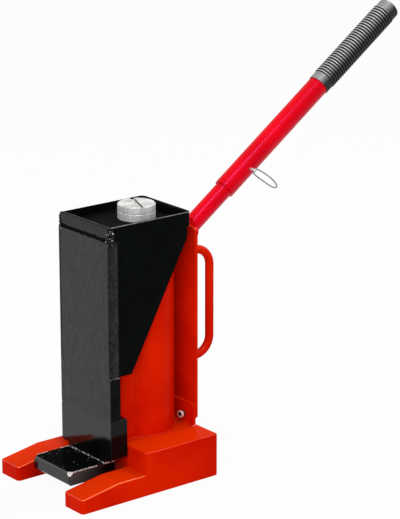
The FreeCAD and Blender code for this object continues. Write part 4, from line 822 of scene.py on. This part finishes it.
cheek_low, cheek_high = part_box("pivot_cheeks")
cheek_seam = [(cheek_high.x, plate_high.y, height) for height in (cheek_low.z, cheek_high.z)]
weld("cheek_welds", mirrored(cheek_seam), bead_enamel, "foot", radius=2.0 * MM, lump=0.6 * MM,
     seed=10.0)

# Lever lock
# A zinc plated pin through both tubes, with a loop bent by hand from spring wire through its eye to pull it
# by. The loop is a slack drop: it leaves the eye along the lever, widens, and turns back at a blunt end.
EYE_INSET = 2.8 * MM
LOOP_WIRE = 1.0 * MM
LOOP_DROOP = math.radians(38.0)
# Points along the lever and outwards from the eye, in millimetres.
LOOP_ROUTE = ((0.2, 0.0), (1.4, 0.0), (2.6, 0.1), (3.8, 1.2), (4.6, 4.0), (5.4, 10.0), (5.9, 18.0),
              (5.6, 27.0), (4.2, 34.0), (1.6, 39.5), (-1.8, 39.6), (-4.2, 35.0), (-4.7, 26.0),
              (-4.9, 16.0), (-5.0, 7.0), (-4.2, 1.4), (-2.6, 0.1), (-1.4, 0.0), (-0.2, 0.0))
LOOP_ORDER = 4
LOOP_SIDES = 3
LOOP_SMOOTH = 6
spring_wire = bare_metal("spring_steel_wire", ("#6E6F72", "#86878A"), rough=(0.42, 0.52), patch=5 * MM)
dress(zinc_plate, "lock_pin")
dress(spring_wire, "lock_loop")
pin_low, pin_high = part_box("lock_pin")
pin_eye = Vector((pin_high.x - EYE_INSET, (pin_low.y + pin_high.y) / 2, (pin_low.z + pin_high.z) / 2))
loop_down = Vector((0, lever_way.z, -lever_way.y))
loop_out = X * math.cos(LOOP_DROOP) + loop_down * math.sin(LOOP_DROOP)
loop_curve = bpy.data.curves.new("pull_loop_line", "CURVE")
loop_curve.dimensions = "3D"
loop_curve.bevel_depth = LOOP_WIRE
loop_curve.bevel_resolution = LOOP_SIDES
loop_curve.resolution_u = LOOP_SMOOTH
loop_curve.use_fill_caps = True
bend = loop_curve.splines.new("NURBS")
bend.points.add(len(LOOP_ROUTE) - 1)
for point, (along_lever, outward) in zip(bend.points, LOOP_ROUTE):
    point.co = (*(pin_eye + (lever_way * along_lever + loop_out * outward) * MM), 1.0)
bend.order_u = LOOP_ORDER
bend.use_endpoint_u = True
loop_line = bpy.data.objects.new("pull_loop_line", loop_curve)
loop_mesh = bpy.data.meshes.new_from_object(loop_line)
bpy.data.objects.remove(loop_line)
loop_mesh.shade_smooth()
loop_mesh.materials.clear()
loop_mesh.materials.append(spring_wire)
pull_loop = bpy.data.objects.new("pull_loop", loop_mesh)
bpy.context.scene.collection.objects.link(pull_loop)
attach(pull_loop, "lock")
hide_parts("lock_loop")

# Pump
# A steel block screwed to the back of the foot with the pump barrel standing in it, its gland nut and
# plunger, two ball valves under hexagon plugs, and a release spindle with a fluted plastic knob.
knob_plastic = moulded(
    "moulded_nylon", ("#161617", "#1F1F20"), rough=(0.35, 0.5), level=0.35, grain=0.7 * MM,
    depth=0.03 * MM)
dress(red_enamel, "pump_block", "barrel_saddle")
dress(zinc_plate, "pump_screws", "valve_plugs", "pump_gland_nut")
dress(ground_steel, "pump_barrel", "pump_plunger", "plunger_pin", "suction_ball", "delivery_ball",
      "suction_spring", "delivery_spring", "release_spindle")
dress(seal_rubber, "pump_seal")
dress(knob_plastic, "release_knob")
saddle_low, saddle_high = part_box("barrel_saddle")
saddle_seam = [(saddle_high.x, plate_high.y, height) for height in (saddle_low.z, saddle_high.z)]
weld("saddle_welds", mirrored(saddle_seam), bead_enamel, "foot", radius=1.6 * MM, lump=0.5 * MM,
     seed=11.0)

# Floor, light and camera
# A pale floor that shows white and keeps a soft shadow, a dim studio with a bright ceiling, soft lamps at the
# front, above and behind, a small one that draws the bright lines on the edges, and the photograph's camera.
FLOOR_HALF = 30.0
FLOOR_SHOWN = 0.95
# The light of the studio from low down and from the ceiling, and how far up each begins.
STUDIO_LIGHT = (0.45, 0.68)
STUDIO_RISE = (0.1, 0.9)
AIM = Vector((0.0, 0.0, 0.22))
# Each lamp's place, its width in metres and its watts.
LAMPS = {"key": ((1.0, -2.5, 2.0), 1.0, 12.0), "over": ((0.97, -0.44, 2.3), 0.6, 14.0),
         "back": ((-0.3, 1.5, 2.6), 0.8, 20.0), "edge": ((0.1, 0.95, 2.66), 0.12, 8.0),
         "left": ((-2.4, -1.6, 1.6), 1.2, 6.0), "front": ((2.3, -2.2, 1.2), 1.2, 16.0)}
CAMERA_SPOT = (2.4192, -1.8149, 1.2074)
CAMERA_TILT = math.radians(73.294)
CAMERA_TURN = math.radians(51.493)
CAMERA_LENS = 160.75
CAMERA_SENSOR = 36.0
bpy.context.scene.view_settings.view_transform = "Standard"
floor_corners = [(x * FLOOR_HALF, y * FLOOR_HALF, 0.0) for x, y in ((-1, -1), (1, -1), (1, 1), (-1, 1))]
floor_mesh = bpy.data.meshes.new("floor")
floor_mesh.from_pydata(floor_corners, [], [(0, 1, 2, 3)])
floor = bpy.data.objects.new("floor", floor_mesh)
bpy.context.scene.collection.objects.link(floor)
floor_paint = bpy.data.materials.new("white_studio_floor")
floor_paint.use_nodes = True
floor_nodes = floor_paint.node_tree
floor_nodes.nodes.clear()
ray = add(floor_nodes, "ShaderNodeLightPath", {}).outputs
seen = either(either(ray["Is Camera Ray"], ray["Is Glossy Ray"]), ray["Is Transmission Ray"])
lit = add(floor_nodes, "ShaderNodeBsdfDiffuse", {"Color": linear("#D4D4D4")})
white = add(floor_nodes, "ShaderNodeEmission", {"Color": linear("#FFFFFF"), "Strength": 1.0})
blend = add(floor_nodes, "ShaderNodeMixShader", {0: both(seen, FLOOR_SHOWN), 1: lit, 2: white})
add(floor_nodes, "ShaderNodeOutputMaterial", {"Surface": blend})
floor_mesh.materials.append(floor_paint)

studio = bpy.data.worlds.new("studio")
bpy.context.scene.world = studio
studio.use_nodes = True
studio_nodes = studio.node_tree
direction = add(studio_nodes, "ShaderNodeTexCoord", {}).outputs["Generated"]
rise = add(studio_nodes, "ShaderNodeSeparateXYZ", {0: direction}).outputs["Z"]
ceiling = add(studio_nodes, "ShaderNodeMapRange", {
    "Value": rise, "From Min": STUDIO_RISE[0], "From Max": STUDIO_RISE[1], "To Min": STUDIO_LIGHT[0],
    "To Max": STUDIO_LIGHT[1]})
feed(studio_nodes.nodes["Background"], {"Color": linear("#FFFFFF"), "Strength": ceiling})

for label, (spot, size, watts) in LAMPS.items():
    lamp = bpy.data.lights.new(f"{label}_lamp", "AREA")
    lamp.size = size
    lamp.energy = watts
    holder = bpy.data.objects.new(f"{label}_lamp", lamp)
    holder.location = spot
    holder.rotation_euler = (AIM - Vector(spot)).to_track_quat("-Z", "Y").to_euler()
    bpy.context.scene.collection.objects.link(holder)

lens = bpy.data.cameras.new("camera")
lens.lens = CAMERA_LENS
lens.sensor_width = CAMERA_SENSOR
camera = bpy.data.objects.new("camera", lens)
camera.location = CAMERA_SPOT
camera.rotation_euler = (CAMERA_TILT, 0.0, CAMERA_TURN)
bpy.context.scene.collection.objects.link(camera)
bpy.context.scene.camera = camera
